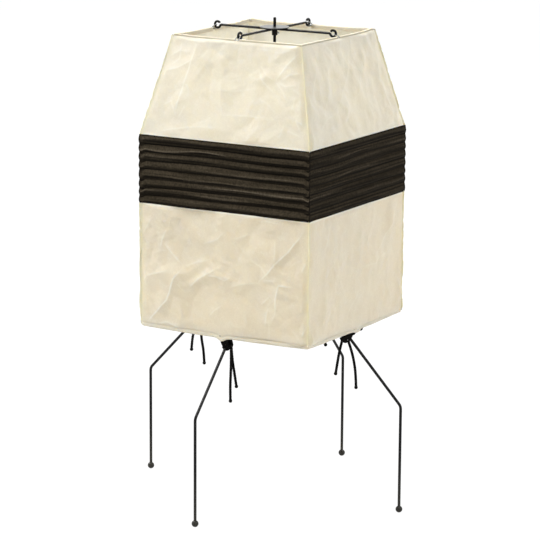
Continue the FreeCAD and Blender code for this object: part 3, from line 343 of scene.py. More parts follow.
def bump(tree, height, strength, distance):
    node = add(tree, "ShaderNodeBump", (), Strength=strength, Distance=distance, Height=height)
    return node.outputs["Normal"]


def attribute(tree, name):
    return add(tree, "ShaderNodeAttribute", {"attribute_name": name}).outputs["Fac"]


def paper_material(name, mark, pale, cloudy, fibre, marked, wear_and_highlight, specular, scatter, specked):
    """Paper from pale to cloudy, with fibres. The mark attribute tints it, which on the dark paper is
    painted shade; crests are paler, as wear and as painted highlight; one more attribute darkens it where
    wire shows through and as painted shade.
    """
    material, tree = blank_material(name)
    grain = use_group(tree, plant_fibres)
    ground = blend(tree, span(tree, grain["Clouds"], *CLOUD_SPAN), pale, cloudy)
    threaded = blend(tree, math_node(tree, "MULTIPLY", grain["Fibres"], FIBRE_SHARE), ground, fibre)
    tinted = blend(tree, attribute(tree, mark), threaded, marked)
    # Paler crests: wear and painted highlight on the cream paper; on the dark paper only a painted
    # highlight, the glint.
    crested = blend(tree, attribute(tree, "crest"), tinted, wear_and_highlight)
    # Darker where wire shows through at the hems, and painted shade under them and below the top hem.
    wire = math_node(tree, "MULTIPLY", attribute(tree, "wire"), WIRE_AND_SHADE_SHARE)
    colour = add(
        tree, "ShaderNodeVectorMath", {"operation": "SCALE"}, blend(tree, wire, crested, WIRE_AND_SHADE_COLOUR),
        Scale=span(tree, grain["Grain"], 1 - specked, 1 + specked),
    ).outputs["Vector"]
    raised = math_node(tree, "MULTIPLY", grain["Fibres"], RAISED_FIBRE)
    soft = math_node(tree, "ADD", raised, grain["Tooth"])
    surface = add(
        tree, "ShaderNodeBsdfPrincipled", Base_Color=colour, Specular_IOR_Level=specular,
        Roughness=span(tree, grain["Clouds"], *PAPER_ROUGHNESS),
        Normal=bump(tree, soft, TOOTH_STRENGTH, TOOTH_HEIGHT),
        Subsurface_Weight=SCATTER_WEIGHT if scatter else 0.0, Subsurface_Scale=scatter,
        Subsurface_Radius=SCATTER_RADIUS,
    )
    finish_material(tree, surface.outputs[0])
    return material


cream_paper = paper_material(
    "cream_paper", mark="seam", pale=(0.840, 0.745, 0.600), cloudy=(0.780, 0.685, 0.540),
    fibre=(0.89, 0.82, 0.68), marked=(0.900, 0.795, 0.540), wear_and_highlight=(0.97, 0.92, 0.81),
    specular=0.20, scatter=0.001, specked=0.05,
)
# A paler copy of the cream paper for the leaning upper panels: painted light from above.
top_paper_painted_light = paper_material(
    "top_paper_painted_light", mark="seam", pale=(0.857, 0.784, 0.652), cloudy=(0.796, 0.722, 0.588),
    fibre=(0.90, 0.84, 0.71), marked=(0.900, 0.805, 0.560), wear_and_highlight=(0.97, 0.93, 0.83),
    specular=0.20, scatter=0.001, specked=0.05,
)
# A much paler copy for the inside of the cream sheets: painted light that brightens the inside, with more
# scatter as well.
inner_paper_painted_light = paper_material(
    "inner_paper_painted_light", mark="seam", pale=(0.96, 0.880, 0.695), cloudy=(0.92, 0.835, 0.645),
    fibre=(0.96, 0.91, 0.77), marked=(0.94, 0.85, 0.63), wear_and_highlight=(0.97, 0.93, 0.83),
    specular=0.20, scatter=0.0033, specked=0.03,
)
# Its marked colour is the painted shade of the folds, and its pale crest colour a painted highlight.
dark_paper = paper_material(
    "dark_paper", mark="fold", pale=(0.053, 0.042, 0.027), cloudy=(0.037, 0.029, 0.018),
    fibre=(0.070, 0.057, 0.039), marked=(0.006, 0.0047, 0.003), wear_and_highlight=(0.14, 0.115, 0.082),
    specular=0.05, scatter=0.0, specked=0.9,
)
print("papers:", cream_paper.name, top_paper_painted_light.name, inner_paper_painted_light.name, dark_paper.name)

# %% [markdown]
# The cord is a matte black braid. Its strands are real geometry, so the finish only adds the fine
# threads of each strand: the same fibre group as the paper's, at a smaller scale.


# %% Cord material
CORD_BLACK, CORD_THREAD = (0.003, 0.003, 0.003), (0.010, 0.009, 0.008)
CORD_ROUGHNESS = (0.70, 0.90)
THREAD_STRENGTH, THREAD_HEIGHT = 0.5, 0.00008


def cord_material():
    material, tree = blank_material("black_cord")
    grain = use_group(tree, plant_fibres, Fibre_scale=700.0, Fibre_width=0.05, Cloud_scale=200.0)
    surface = add(
        tree, "ShaderNodeBsdfPrincipled", Specular_IOR_Level=0.08,
        Base_Color=blend(tree, grain["Fibres"], CORD_BLACK, CORD_THREAD),
        Roughness=span(tree, grain["Clouds"], *CORD_ROUGHNESS),
        Normal=bump(tree, grain["Fibres"], THREAD_STRENGTH, THREAD_HEIGHT),
    )
    finish_material(tree, surface.outputs[0])
    return material


black_cord = cord_material()
print("cord:", black_cord.name)

# %% [markdown]
# ## Braided cord, as Geometry Nodes
#
# The ties are a thin round braid: four strands wind one way and four the other, over and under.
# A plain tube with a bump would look flat at its outline, so the strands are real. A Geometry
# Nodes tree takes any curve, copies it eight times, winds each copy round the line, and swells
# its distance in and out so that the strands really pass over each other. Sizes are in metres, and
# the sizes of strands, core and end bead are shares of the cord's radius.


# %% Braid tree
CORD = 0.0040
LAY = 0.0135
STEP = 0.0007
STRANDS = 8
CROSSINGS = 4.0
STRAND_AWAY, STRAND_SWAY = 0.64, 0.07
STRAND_SHARE, CORE_SHARE, BEAD_SHARE = 0.32, 0.72, 1.26
STRAND_SIDES, CORE_SIDES = 6, 10


def braid_inputs(tree):
    """The tree's named inputs and its output; gives back the sockets of the inputs."""
    face = tree.interface
    face.new_socket("Geometry", in_out="INPUT", socket_type="NodeSocketGeometry")
    sizes = {"Cord radius": CORD / 2, "Lay": LAY, "Step": STEP, "Sealed end": 0.0}
    for title, value in sizes.items():
        face.new_socket(title, in_out="INPUT", socket_type="NodeSocketFloat").default_value = value
    face.new_socket("Finish", in_out="INPUT", socket_type="NodeSocketMaterial")
    face.new_socket("Geometry", in_out="OUTPUT", socket_type="NodeSocketGeometry")
    return tree.nodes.new("NodeGroupInput").outputs


def braid_tree():
    tree = bpy.data.node_groups.new("braided_cord", "GeometryNodeTree")
    start = braid_inputs(tree)
    radius = start["Cord radius"]

    def times(one, two):
        return math_node(tree, "MULTIPLY", one, two)

    def part(direction, size):
        scaled = add(tree, "ShaderNodeVectorMath", {"operation": "SCALE"}, direction, Scale=size)
        return scaled.outputs["Vector"]

    def tube(line, share, sides):
        size = times(radius, share)
        ring = add(tree, "GeometryNodeCurvePrimitiveCircle", (), Resolution=sides, Radius=size)
        return add(
            tree, "GeometryNodeCurveToMesh", (), Curve=line, Profile_Curve=ring.outputs[0], Fill_Caps=True
        )

    fine = add(
        tree, "GeometryNodeResampleCurve", {"mode": "LENGTH"}, Curve=start["Geometry"], Length=start["Step"]
    ).outputs[0]
    copies = add(tree, "GeometryNodeDuplicateElements", {"domain": "SPLINE"}, Geometry=fine, Amount=STRANDS)
    number = copies.outputs["Duplicate Index"]
    way = math_node(tree, "SUBTRACT", times(math_node(tree, "MODULO", number, 2.0), 2.0), 1.0)
    pair = math_node(tree, "FLOOR", times(number, 0.5))
    along = add(tree, "GeometryNodeSplineParameter").outputs["Length"]
    wound = times(math_node(tree, "DIVIDE", along, start["Lay"]), 2 * math.pi)
    angle = math_node(tree, "MULTIPLY_ADD", wound, way, times(pair, math.pi / 2))
    weave = times(math_node(tree, "COSINE", times(wound, CROSSINGS)), way)
    away = times(math_node(tree, "MULTIPLY_ADD", weave, STRAND_SWAY, STRAND_AWAY), radius)
    side = add(tree, "GeometryNodeInputNormal").outputs[0]
    up = vector_node(tree, "CROSS_PRODUCT", add(tree, "GeometryNodeInputTangent").outputs[0], side)
    moved = vector_node(
        tree, "ADD", part(side, times(away, math_node(tree, "COSINE", angle))),
        part(up, times(away, math_node(tree, "SINE", angle))),
    )
    strands = add(tree, "GeometryNodeSetPosition", (), Geometry=copies.outputs[0], Offset=moved)
    last = add(tree, "GeometryNodeCurveEndpointSelection", (), Start_Size=0, End_Size=1)
    bead = add(
        tree, "GeometryNodeMeshIcoSphere", (), Subdivisions=3,
        Radius=times(times(radius, BEAD_SHARE), start["Sealed end"]),
    )
    tips = add(
        tree, "GeometryNodeInstanceOnPoints", (), Points=fine, Selection=last.outputs[0],
        Instance=bead.outputs["Mesh"],
    )
    whole = add(tree, "GeometryNodeJoinGeometry")
    strand_tubes = tube(strands.outputs[0], STRAND_SHARE, STRAND_SIDES)
    for piece in (strand_tubes, tube(fine, CORE_SHARE, CORE_SIDES), tips):
        tree.links.new(piece.outputs[0], whole.inputs[0])
    real = add(tree, "GeometryNodeRealizeInstances", (), Geometry=whole.outputs[0])
    smooth = add(tree, "GeometryNodeSetShadeSmooth", (), Geometry=real.outputs[0])
    coloured = add(tree, "GeometryNodeSetMaterial", (), Geometry=smooth.outputs[0], Material=start["Finish"])
    tree.links.new(coloured.outputs[0], tree.nodes.new("NodeGroupOutput").inputs[0])
    return tree


braided_cord = braid_tree()
print("braid tree with", len(braided_cord.nodes), "nodes")

# %% [markdown]
# The lines to braid are NURBS curves, because such a curve hangs smoothly between few points. A
# finished piece is the evaluated curve turned into a plain mesh, so nothing is left to compute.


# %% Curves to cords
def nurbs(name, routes):
    """A curve object of smooth NURBS lines. A route is its points in metres and whether it closes."""
    data = bpy.data.curves.new(name, "CURVE")
    data.dimensions = "3D"
    data.resolution_u = 10
    for points, closed in routes:
        line = data.splines.new("NURBS")
        line.points.add(len(points) - 1)
        for place, point in zip(line.points, points):
            place.co = (*point, 1)
        line.use_cyclic_u = closed
        line.order_u = 3
        line.use_endpoint_u = not closed
    curve = bpy.data.objects.new(name, data)
    bpy.context.scene.collection.objects.link(curve)
    return curve


def plain_mesh(source, name):
    """The evaluated object as a plain mesh object; the source is removed."""
    bpy.context.view_layer.update()
    found = source.evaluated_get(bpy.context.evaluated_depsgraph_get())
    mesh = bpy.data.meshes.new_from_object(found)
    bpy.data.objects.remove(source)
    piece = bpy.data.objects.new(name, mesh)
    mesh.name = name
    bpy.context.scene.collection.objects.link(piece)
    return piece


def line_points(curve):
    """Points along a curve's own line."""
    bpy.context.view_layer.update()
    found = curve.evaluated_get(bpy.context.evaluated_depsgraph_get())
    mesh = bpy.data.meshes.new_from_object(found)
    points = [tuple(v.co) for v in mesh.vertices]
    bpy.data.meshes.remove(mesh)
    return points


def braided(curve, name, sealed):
    """Braid along a curve, as a plain mesh; sealed is 1 for a melted bead at its end, or 0."""
    sizes = {"Cord radius": CORD / 2, "Lay": LAY, "Step": STEP, "Sealed end": sealed, "Finish": black_cord}
    modifier = curve.modifiers.new("braid", "NODES")
    modifier.node_group = braided_cord
    for item in braided_cord.interface.items_tree:
        if item.in_out == "INPUT" and item.name in sizes:
            modifier[item.identifier] = sizes[item.name]
    return plain_mesh(curve, name)


print("cords are", CORD / MM, "mm thick, with", STRANDS, "strands")

# %% [markdown]
# ## The cord tails
#
# From each of the four ties two loose ends hang down, each with a sealed tip. Their routes are
# those of the CAD source, in millimetres from the middle of the knot; only the right short tail
# starts at another place of its knot, as in the photograph. A NURBS line along them hangs smoothly.

# %% Cord tails
KNOTS = {"front": (6.5, -121), "right": (121, -6.5), "back": (6.5, 121), "left": (-121, 6.5)}
KNOT_HEIGHT = 233.81
TAILS = {
    "front_long": ((0.9, -1.9, -2.8), (1.8, -3, -20), (1.4, -3.5, -39), (0, -2.5, -58), (0.3, -2, -76)),
    "front_short": ((-0.9, 2, -2.8), (0.8, 1.5, -19), (4.7, 0.5, -35.5), (8.4, 0, -55)),
    "right_short": ((-3, -8.5, -1.5), (-6.3, -9.2, -15.3), (-8.4, -10.2, -30.5), (-10, -12.3, -46.3)),
    "right_long": ((2, 1.3, -2.8), (5, 5.5, -17), (7, 9.8, -35.3), (8.5, 11.3, -52.3), (8.8, 11.8, -68.5)),
    "left_short": ((-0.4, -2, -2.8), (-2.5, -11, -14), (-4.5, -16.5, -27), (-5, -17.5, -44.8)),
    "left_long": ((-0.9, 2, -2.8), (-2.5, 3, -16), (-4, 7, -34), (-5, 15.1, -55), (-5.2, 16.7, -72)),
    "back_long": ((2.1, 0, -2.8), (2.5, 2, -16.8), (5, 4, -31.8), (7, 5, -48.8)),
    "back_short": ((-2.1, 0.4, -2.8), (-4, 2, -14.8), (-6, 3, -26.8), (-6.5, 3, -38.8)),
}
for tail_name, route in TAILS.items():
    side = tail_name.split("_")[0]
    knot = Vector((*KNOTS[side], KNOT_HEIGHT))
    name = f"cord_tail_{tail_name}"
    curve = nurbs(name, [([(knot + Vector(p)) * MM for p in route], False)])
    path = line_points(curve)
    run = sum((Vector(b) - Vector(a)).length for a, b in zip(path, path[1:]))
    tail = braided(curve, name, 1.0)
    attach(tail, "root")
    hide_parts(f"tie_tail_{tail_name}")
    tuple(path[0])
    print(name, "is", round(run / MM, 1), "mm long,", len(tail.data.polygons), "faces")

# %% [markdown]
# ## The ties
#
# At the middle of each side the same cord goes about two and a half times round the bottom ring
# and the leg below it, and ends in a knot. The turns are a belt round two rods, so their points are
# set on two circles, as degrees round and millimetres from the middle of the rod. The knot is a
# tight trefoil, which is an overhand knot with its ends joined, and looks like one from every side.

# %% Belt and knot
RING_RADIUS = 1.0
ring_low, ring_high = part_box("bottom_ring")
RING_REACH = ring_high[0] / MM - RING_RADIUS
RING_HEIGHT = (ring_low[2] + ring_high[2]) / 2 / MM
LEG_REACH, LEG_HEIGHT, LEG_RISE = 121.0, 235.81, 1.0594
RING_STOPS = ((100, 1.7), (180, 2.8), (260, 3.5))
LEG_STOPS = ((280, 4.6), (330, 4.6), (390, 4.6), (440, 4.6))
KNOT_SIZE, KNOT_DEPTH, KNOT_POINTS = 0.85, 1.5, 24


def belt(lanes, turns, further_in):
    """A cord wound round the ring and past the leg, a lane to each turn, as (across, out, height)."""
    leg = (LEG_REACH - further_in, LEG_HEIGHT + further_in * LEG_RISE)
    lean = math.atan2(leg[1] - RING_HEIGHT, leg[0] - RING_REACH)
    stops = []
    for (out, height), circle in (((RING_REACH, RING_HEIGHT), RING_STOPS), (leg, LEG_STOPS)):
        for degrees, size in circle:
            a = lean + math.radians(degrees)
            stops.append((out + size * math.cos(a), height + size * math.sin(a)))
    total = int(len(stops) * turns)
    return [(lanes[i // len(stops)], *stops[i % len(stops)]) for i in range(total + 1)]


def trefoil(across, out, height):
    """A tight trefoil knot round a place."""
    line = []
    for i in range(KNOT_POINTS):
        t = 2 * math.pi * i / KNOT_POINTS
        one = math.sin(t) + 2 * math.sin(2 * t)
        two = math.cos(t) - 2 * math.cos(2 * t)
        deep = -KNOT_DEPTH * math.sin(3 * t)
        line.append((across + one * KNOT_SIZE, out + deep * KNOT_SIZE, height + two * KNOT_SIZE))
    return line


print("belt round the ring at", round(RING_REACH, 1), "mm and the leg at", LEG_REACH, "mm from the middle")

# %% [markdown]
# Places on a side are given as across, to the right as seen from outside, out and height. Three
# of the ties also have a turn under the leg and a bight, both drawn into the knot, given from the
# middle of the leg. The right tie has loose strands along the hem instead.

# %% Ties
OUTWARD = {"front": (0, -1), "right": (1, 0), "back": (0, 1), "left": (-1, 0)}
TIE_WAY = {"front": 1, "right": -1, "back": -1, "left": -1}
TIE_TURNS = 2.6
FURTHER_IN = {"front": 0.0, "right": 4.5, "back": 0.0, "left": 0.0}
WIDE_LANES = (-4.1, 4.1, 7.8)
LANES = {"front": (-4.1, 2.0, 5.2), "right": WIDE_LANES, "back": WIDE_LANES, "left": WIDE_LANES}
KNOT_PLACE = {"front": (3.6, 122.2), "right": (-10, 120.5), "back": (-6.5, 121.6), "left": (-6.5, 121.6)}
KNOT_BELOW = 2
LEAD = (0.6, 1.8, -5.5)
UNDER = ((-4.1, 3.4, -3.6), (-3.2, 2.4, -6.4), (0, 1.4, -7.4), (4.0, 1.2, -6.2))
BIGHT = (
    (1.5, 5.5, 3.5), (-1.0, 6.5, 8.0), (-5.0, 5.5, 7.0),
    (-5.2, 4.5, 1.5), (-1.0, 5.0, -2.5), (3.0, 4.0, -4.0),
)
LOOSE_STRANDS = (
    ((-20, 118.5, 237.3), (-14, 122, 239), (-9.4, 126, 240.5), (-3, 128.8, 242), (0, 129.4, 243)),
    ((-17.5, 118.5, 234.4), (-12, 121.5, 235.8), (-7, 125, 237.2), (-3.5, 127, 239)),
    ((10, 130, 246.6), (13, 130.5, 245.5), (16, 130.6, 244.7), (19, 130, 246)),
    ((-4, 126.5, 240), (-4.6, 124.8, 236), (-5.2, 123, 231)),
)


def on_side(side, across, out, height):
    """Points from places on one side of the lamp, which are numbers or arrays of one shape."""
    x, y = OUTWARD[side]
    return np.stack([x * out - y * across, y * out + x * across, height], axis=-1)


def from_leg(places, way):
    """Places on a side from places given from the middle of its leg."""
    return [(across * way, LEG_REACH + out, LEG_HEIGHT + height) for across, out, height in places]


for side, way in TIE_WAY.items():
    wraps = belt([lane * way for lane in LANES[side]], TIE_TURNS, FURTHER_IN[side])
    knot = (*KNOT_PLACE[side], LEG_HEIGHT - KNOT_BELOW)
    lead = from_leg([(LANES[side][-1] + LEAD[0], LEAD[1], LEAD[2])], way)
    strands = [[wraps[-1], *lead, knot]]
    if side == "right":
        strands += LOOSE_STRANDS
    else:
        strands += [[*from_leg(UNDER, way), knot], [knot, *from_leg(BIGHT, way), knot]]
    lines = [(wraps, False), (strands[0], False), (trefoil(*knot), True)]
    lines += [(strand, False) for strand in strands[1:]]
    routes = [([Vector(on_side(side, *p)) * MM for p in places], closed) for places, closed in lines]
    tie = braided(nurbs(f"tie_{side}", routes), f"tie_{side}", 0.0)
    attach(tie, "root")
    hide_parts(f"tie_lashing_{side}")
    print("tie on the", side, "side:", len(tie.data.polygons), "faces")

# %% [markdown]
# ## How the paper creases
#
# Paper hardly stretches, so a sheet that has been folded flat and opened keeps sharp ridges with
# flat facets between them, and only a few slow bulges. The main creases of the two faces in
# front are given as lines on the sheet; smaller ones are drawn at random from a fixed seed. A
# ridge is highest on its line and falls off steeper on one side than on the other, as a facet
# does.


# %% Waves and ridges
# The pale crest line is part wear and part painted highlight.
WEAR_AND_HIGHLIGHT_WIDTH = 1.0
CREST_ROUND = 0.45
CREASE_POWER = 1.7
END_SHARE, END_STRENGTH = 0.28, 0.12
WAVE_SPREAD = 8


def waves(seed, count, shortest, longest, tilt=None):
    """A slow, smooth, seeded field over a sheet: a sum of waves, about -1 to 1."""
    draw = np.random.default_rng(seed)
    length = draw.uniform(shortest, longest, count)
    if tilt is None:
        angle = draw.uniform(0, np.pi, count)
    else:
        angle = np.radians(draw.normal(tilt, WAVE_SPREAD, count))
    phase = draw.uniform(0, 2 * np.pi, count)
    weight = length / np.sqrt((length**2).sum())

    def field(a, v):
        total = 0
        for size, turn, shift, share in zip(length, angle, phase, weight):
            total = total + share * np.cos(2 * np.pi * (a * np.cos(turn) + v * np.sin(turn)) / size + shift)
        return total

    return field


def ease(x):
    """A smooth change from 0 to 1."""
    x = np.clip(x, 0, 1)
    return x * x * (3 - 2 * x)


def ridge(a, v, line, height, left, right):
    """A crease along a line of points: its height over the sheet, and its pale crest line, wear and painted
    highlight, from 0 to 1.
    """
    points = np.array(line, float)
    steps = np.diff(points, axis=0)
    runs = np.linalg.norm(steps, axis=1)
    begun = np.concatenate([[0], np.cumsum(runs)])
    best = np.full(a.shape, 1e9)
    place = np.zeros(a.shape)
    hand = np.ones(a.shape)
    for i, (step, run) in enumerate(zip(steps, runs)):
        da, dv = a - points[i, 0], v - points[i, 1]
        share = np.clip((da * step[0] + dv * step[1]) / run**2, 0, 1)
        off = np.hypot(da - share * step[0], dv - share * step[1])
        nearer = off < best
        best = np.where(nearer, off, best)
        place = np.where(nearer, begun[i] + share * run, place)
        hand = np.where(nearer, np.sign(step[0] * dv - step[1] * da), hand)
    width = np.where(hand > 0, left, right)
    fall = np.clip(1 - (np.sqrt(best**2 + CREST_ROUND**2) - CREST_ROUND) / width, 0, 1)
    ends = np.minimum(place, begun[-1] - place) / (END_SHARE * begun[-1])
    strength = ease(ends + END_STRENGTH)
    return height * strength * fall**CREASE_POWER, strength * np.exp(-((best / WEAR_AND_HIGHLIGHT_WIDTH) ** 2))


print("waves and ridges ready, with crests worn", WEAR_AND_HIGHLIGHT_WIDTH, "mm wide")

# %% [markdown]
# Between the creases lie flat facets, and between the main creases short ones. Both are drawn
# from a seed, so the paper is the same in every run.

# %% Facets and small creases
FOLD_SPREAD = 10
FOLD_SWAY = 0.22
SMALL_LENGTH, SMALL_WIDTH = (9, 26), (4, 13)
SMALL_TURN = 0.5
SMALL_LEAST = 0.35


def facets(seed, count, shortest, longest, tilt=None):
    """Flat facets between straight folds that bend, come and go: a seeded field of slope about 1."""
    draw = np.random.default_rng(seed)
    folds = []
    for i in range(count):
        turn = draw.uniform(0, np.pi) if tilt is None else np.radians(draw.normal(tilt, FOLD_SPREAD))
        size = draw.uniform(shortest, longest)
        shift = draw.uniform(0, size)
        mask = waves(seed + 100 + i, 4, 40, 110)
        bend = waves(seed + 200 + i, 3, 60, 140)
        folds.append((size, turn, shift, mask, bend))

    def field(a, v):
        total = 0
        for size, turn, shift, mask, bend in folds:
            place = (a * np.cos(turn) + v * np.sin(turn) + shift + FOLD_SWAY * size * bend(a, v)) / size
            total = total + size * np.abs(place - np.floor(place + 0.5)) * np.clip(mask(a, v), 0, 1)
        return total

    return field


def small_creases(seed, count, half, tall, height):
    """Random short creases, each with one bend."""
    draw = np.random.default_rng(seed)
    for _ in range(count):
        start = np.array([draw.uniform(-half, half), draw.uniform(0, tall)])
        angle = draw.uniform(0, 2 * np.pi)
        line = [start]
        for _ in range(2):
            line.append(line[-1] + draw.uniform(*SMALL_LENGTH) * np.array([np.cos(angle), np.sin(angle)]))
            angle += draw.normal(0, SMALL_TURN)
        stands = height * draw.uniform(SMALL_LEAST, 1) * draw.choice([-1, 1])
        left, right = draw.uniform(*SMALL_WIDTH), draw.uniform(*SMALL_WIDTH)
        yield line, stands, left, right


print("small creases run", SMALL_LENGTH, "mm to a bend")

# %% [markdown]
# The main creases, as (height, width to the left of the line, width to its right, points). A
# negative height is a valley. Points are millimetres from the middle of the face and up the
# sheet from the lower edge that shows.

# %% Main creases
CREASES = {
    "lower_front": (
        (1.9, 20, 13, ((-124, 4), (-108, 21), (-88, 42), (-77, 72), (-62, 90))),
        (1.2, 12, 9, ((-62, 91), (-73, 101), (-95, 121))),
        (0.9, 9, 14, ((-62, 90), (-42, 99), (-22, 104))),
        (1.3, 8, 14, ((-55, 61), (-38, 77), (-16, 90), (-5, 96))),
        (1.0, 8, 8, ((-24, 83), (-9, 83), (4, 79), (13, 85))),
        (1.6, 10, 20, ((125, 159), (115, 146), (99, 127), (80, 109), (71, 97), (57, 85), (55, 77))),
        (0.9, 8, 14, ((79, 142), (81, 125), (81, 111))),
        (0.7, 7, 7, ((62, 86), (85, 88))),
        (1.5, 16, 10, ((110, 82), (87, 82), (82, 63), (81, 38))),
        (0.7, 6, 9, ((0, 145), (-7, 135), (-15, 131), (-34, 125))),
        (0.6, 6, 9, ((41, 146), (23, 139), (14, 135))),
        (0.8, 12, 10, ((-130, 128), (-121, 139), (-113, 154))),
        (-0.5, 10, 10, ((-98, 146), (-113, 138), (-130, 130))),
        (1.2, 15, 8, ((-128, 63), (-121, 72), (-99, 79), (-84, 84))),
        (1.2, 9, 9, ((-108, 6), (-90, 11), (-64, 5))),
        (0.9, 14, 14, ((-23, 26), (-13, 36), (0, 45))),
        (1.0, 14, 10, ((59, 52), (73, 65))),
        (1.0, 14, 14, ((70, 50), (65, 23))),
        (1.5, 10, 8, ((131, 35), (121, 15))),
        (1.2, 9, 8, ((119, 100), (127, 115), (128, 134))),
        (-1.0, 18, 18, ((2, 103), (-2, 84))),
        (-1.2, 22, 22, ((34, 138), (23, 109), (16, 96))),
        (-1.1, 18, 14, ((57, 113), (61, 82))),
        (-1.2, 20, 20, ((-31, 71), (-49, 44), (-53, 15))),
        (0.8, 10, 16, ((9, 70), (29, 77), (55, 82))),
    ),
    "upper_front": (
        (0.8, 12, 10, ((-100, 138), (-75, 133), (-41, 130))),
        (1.1, 8, 10, ((-105, 89), (-86, 94), (-68, 104), (-59, 108))),
        (1.4, 26, 26, ((-58, 130), (-70, 81), (-83, 24))),
        (1.4, 9, 12, ((99, 127), (83, 110), (67, 88))),
        (0.9, 7, 9, ((67, 88), (80, 76), (90, 63))),
        (0.7, 8, 8, ((67, 88), (53, 95), (40, 108))),
        (1.0, 7, 8, ((107, 102), (90, 98), (75, 89))),
        (0.8, 7, 7, ((101, 85), (84, 82), (70, 87))),
        (1.0, 8, 8, ((121, 33), (106, 39), (115, 23))),
        (0.6, 9, 14, ((-19, 37), (36, 39), (75, 37))),
        (0.8, 12, 9, ((-104, 8), (-49, 18), (-8, 20))),
        (0.6, 10, 12, ((36, 129), (70, 125), (91, 131))),
        (0.8, 10, 12, ((-104, 42), (-88, 50), (-76, 25))),
        (-0.8, 20, 20, ((-11, 116), (-1, 86))),
        (-0.9, 24, 24, ((21, 124), (14, 95), (21, 67))),
        (0.5, 8, 12, ((-32, 69), (7, 70), (50, 78))),
        (0.8, 8, 10, ((100, 71), (97, 49))),
        (0.7, 8, 8, ((118, 18), (93, 25))),
        (0.8, 10, 8, ((-100, 110), (-84, 118), (-64, 117))),
    ),
    "lower_right": (
        (1.2, 22, 12, ((112, 163), (89, 131), (67, 110), (39, 87))),
        (0.9, 18, 12, ((54, 162), (32, 133), (21, 107))),
        (0.8, 7, 9, ((88, 95), (61, 93), (47, 85), (-1, 88))),
        (0.6, 10, 14, ((-47, 124), (-54, 101), (-59, 76))),
        (0.5, 8, 8, ((-82, 119), (-90, 105))),
        (1.2, 9, 9, ((112, 62), (122, 37), (125, 15))),
        (-0.7, 16, 16, ((-2, 108), (-5, 84))),
        (0.8, 16, 14, ((11, 67), (-6, 45), (-30, 26))),
        (0.6, 12, 12, ((-86, 74), (-88, 44), (-99, 22))),
        (0.6, 8, 8, ((-123, 162), (-107, 147))),
        (-0.7, 14, 14, ((44, 80), (40, 53))),
        (0.7, 12, 12, ((91, 80), (86, 53), (93, 26))),
    ),
    "upper_right": (
        (0.9, 12, 10, ((-87, 130), (-81, 99), (-104, 59))),
        (0.7, 12, 12, ((-49, 119), (-52, 76), (-90, 28))),
        (0.8, 14, 10, ((21, 123), (-1, 82), (-60, 34))),
        (0.7, 12, 10, ((54, 119), (33, 80), (9, 46))),
        (1.1, 14, 10, ((91, 123), (84, 69), (110, 10))),
        (-0.6, 12, 12, ((68, 115), (61, 74))),
        (0.9, 10, 16, ((-105, 16), (-78, 36), (-31, 44))),
        (0.8, 8, 8, ((90, 33), (105, 21))),
    ),
}
print({name: len(lines) for name, lines in CREASES.items()})

# %% [markdown]
# ## The cream panels
#
# Each face of the shade has a straight lower panel and a leaning upper one. A panel is a grid
# over its flat cut, with a narrow tab on each upright edge that folds out along the diagonal and
# is glued to its neighbour's, so the corners carry thin wavy fins. The grid gets its creases,
# then Solidify gives it the paper's thickness. The paper is held still at its edges, so every
# height fades out there.

# %% Panel sizes
HALF = 131.0
HALF_TOP = 99.0
BOTTOM, BAND_LOW, BAND_HIGH, TOP = 247.02, 420.02, 511.02, 646.02
PAPER = 0.4
LAP = 5.0
LEAN = math.atan((HALF - HALF_TOP) / (TOP - BAND_HIGH))
SLANT = (TOP - BAND_HIGH) / math.cos(LEAN)
FACES = ("front", "right", "back", "left")
print("upper panels lean in by", round(math.degrees(LEAN), 1), "degrees and are", round(SLANT, 1), "mm tall")

# %% [markdown]
# A panel's height over its flat face adds up slow bulges, facets, the main creases and small
# ones. The right face in the photograph is smoother than the front, with upright facets and
# fainter crests. The left one isn't seen, and is made like the right; the back is made like the
# front.

# %% Heights of the paper
SEEDS = {"front": 11, "right": 23, "back": 37, "left": 51}
UPPER_SEED = 200
# The wear keys set how strongly crests are paled, as wear and as painted highlight.
FACING = {"rough": 1.0, "full_wear_and_highlight": 2.1, "small_wear_and_highlight": 1.0}
SIDEWAYS = {"rough": 0.75, "full_wear_and_highlight": 4.5, "small_wear_and_highlight": 0.4}
LARGE_FACETS, SMALL_FACETS, UPRIGHT_FACETS = 0.065, 0.035, 0.07
RIDGE_HEIGHT, RIDGE_WIDTH = 1.1, 1.15
SMALL_HEIGHT = 0.45
FEW_CREASES, MANY_CREASES = 30, 75
SIDE_FADE, END_FADE = 9, 7


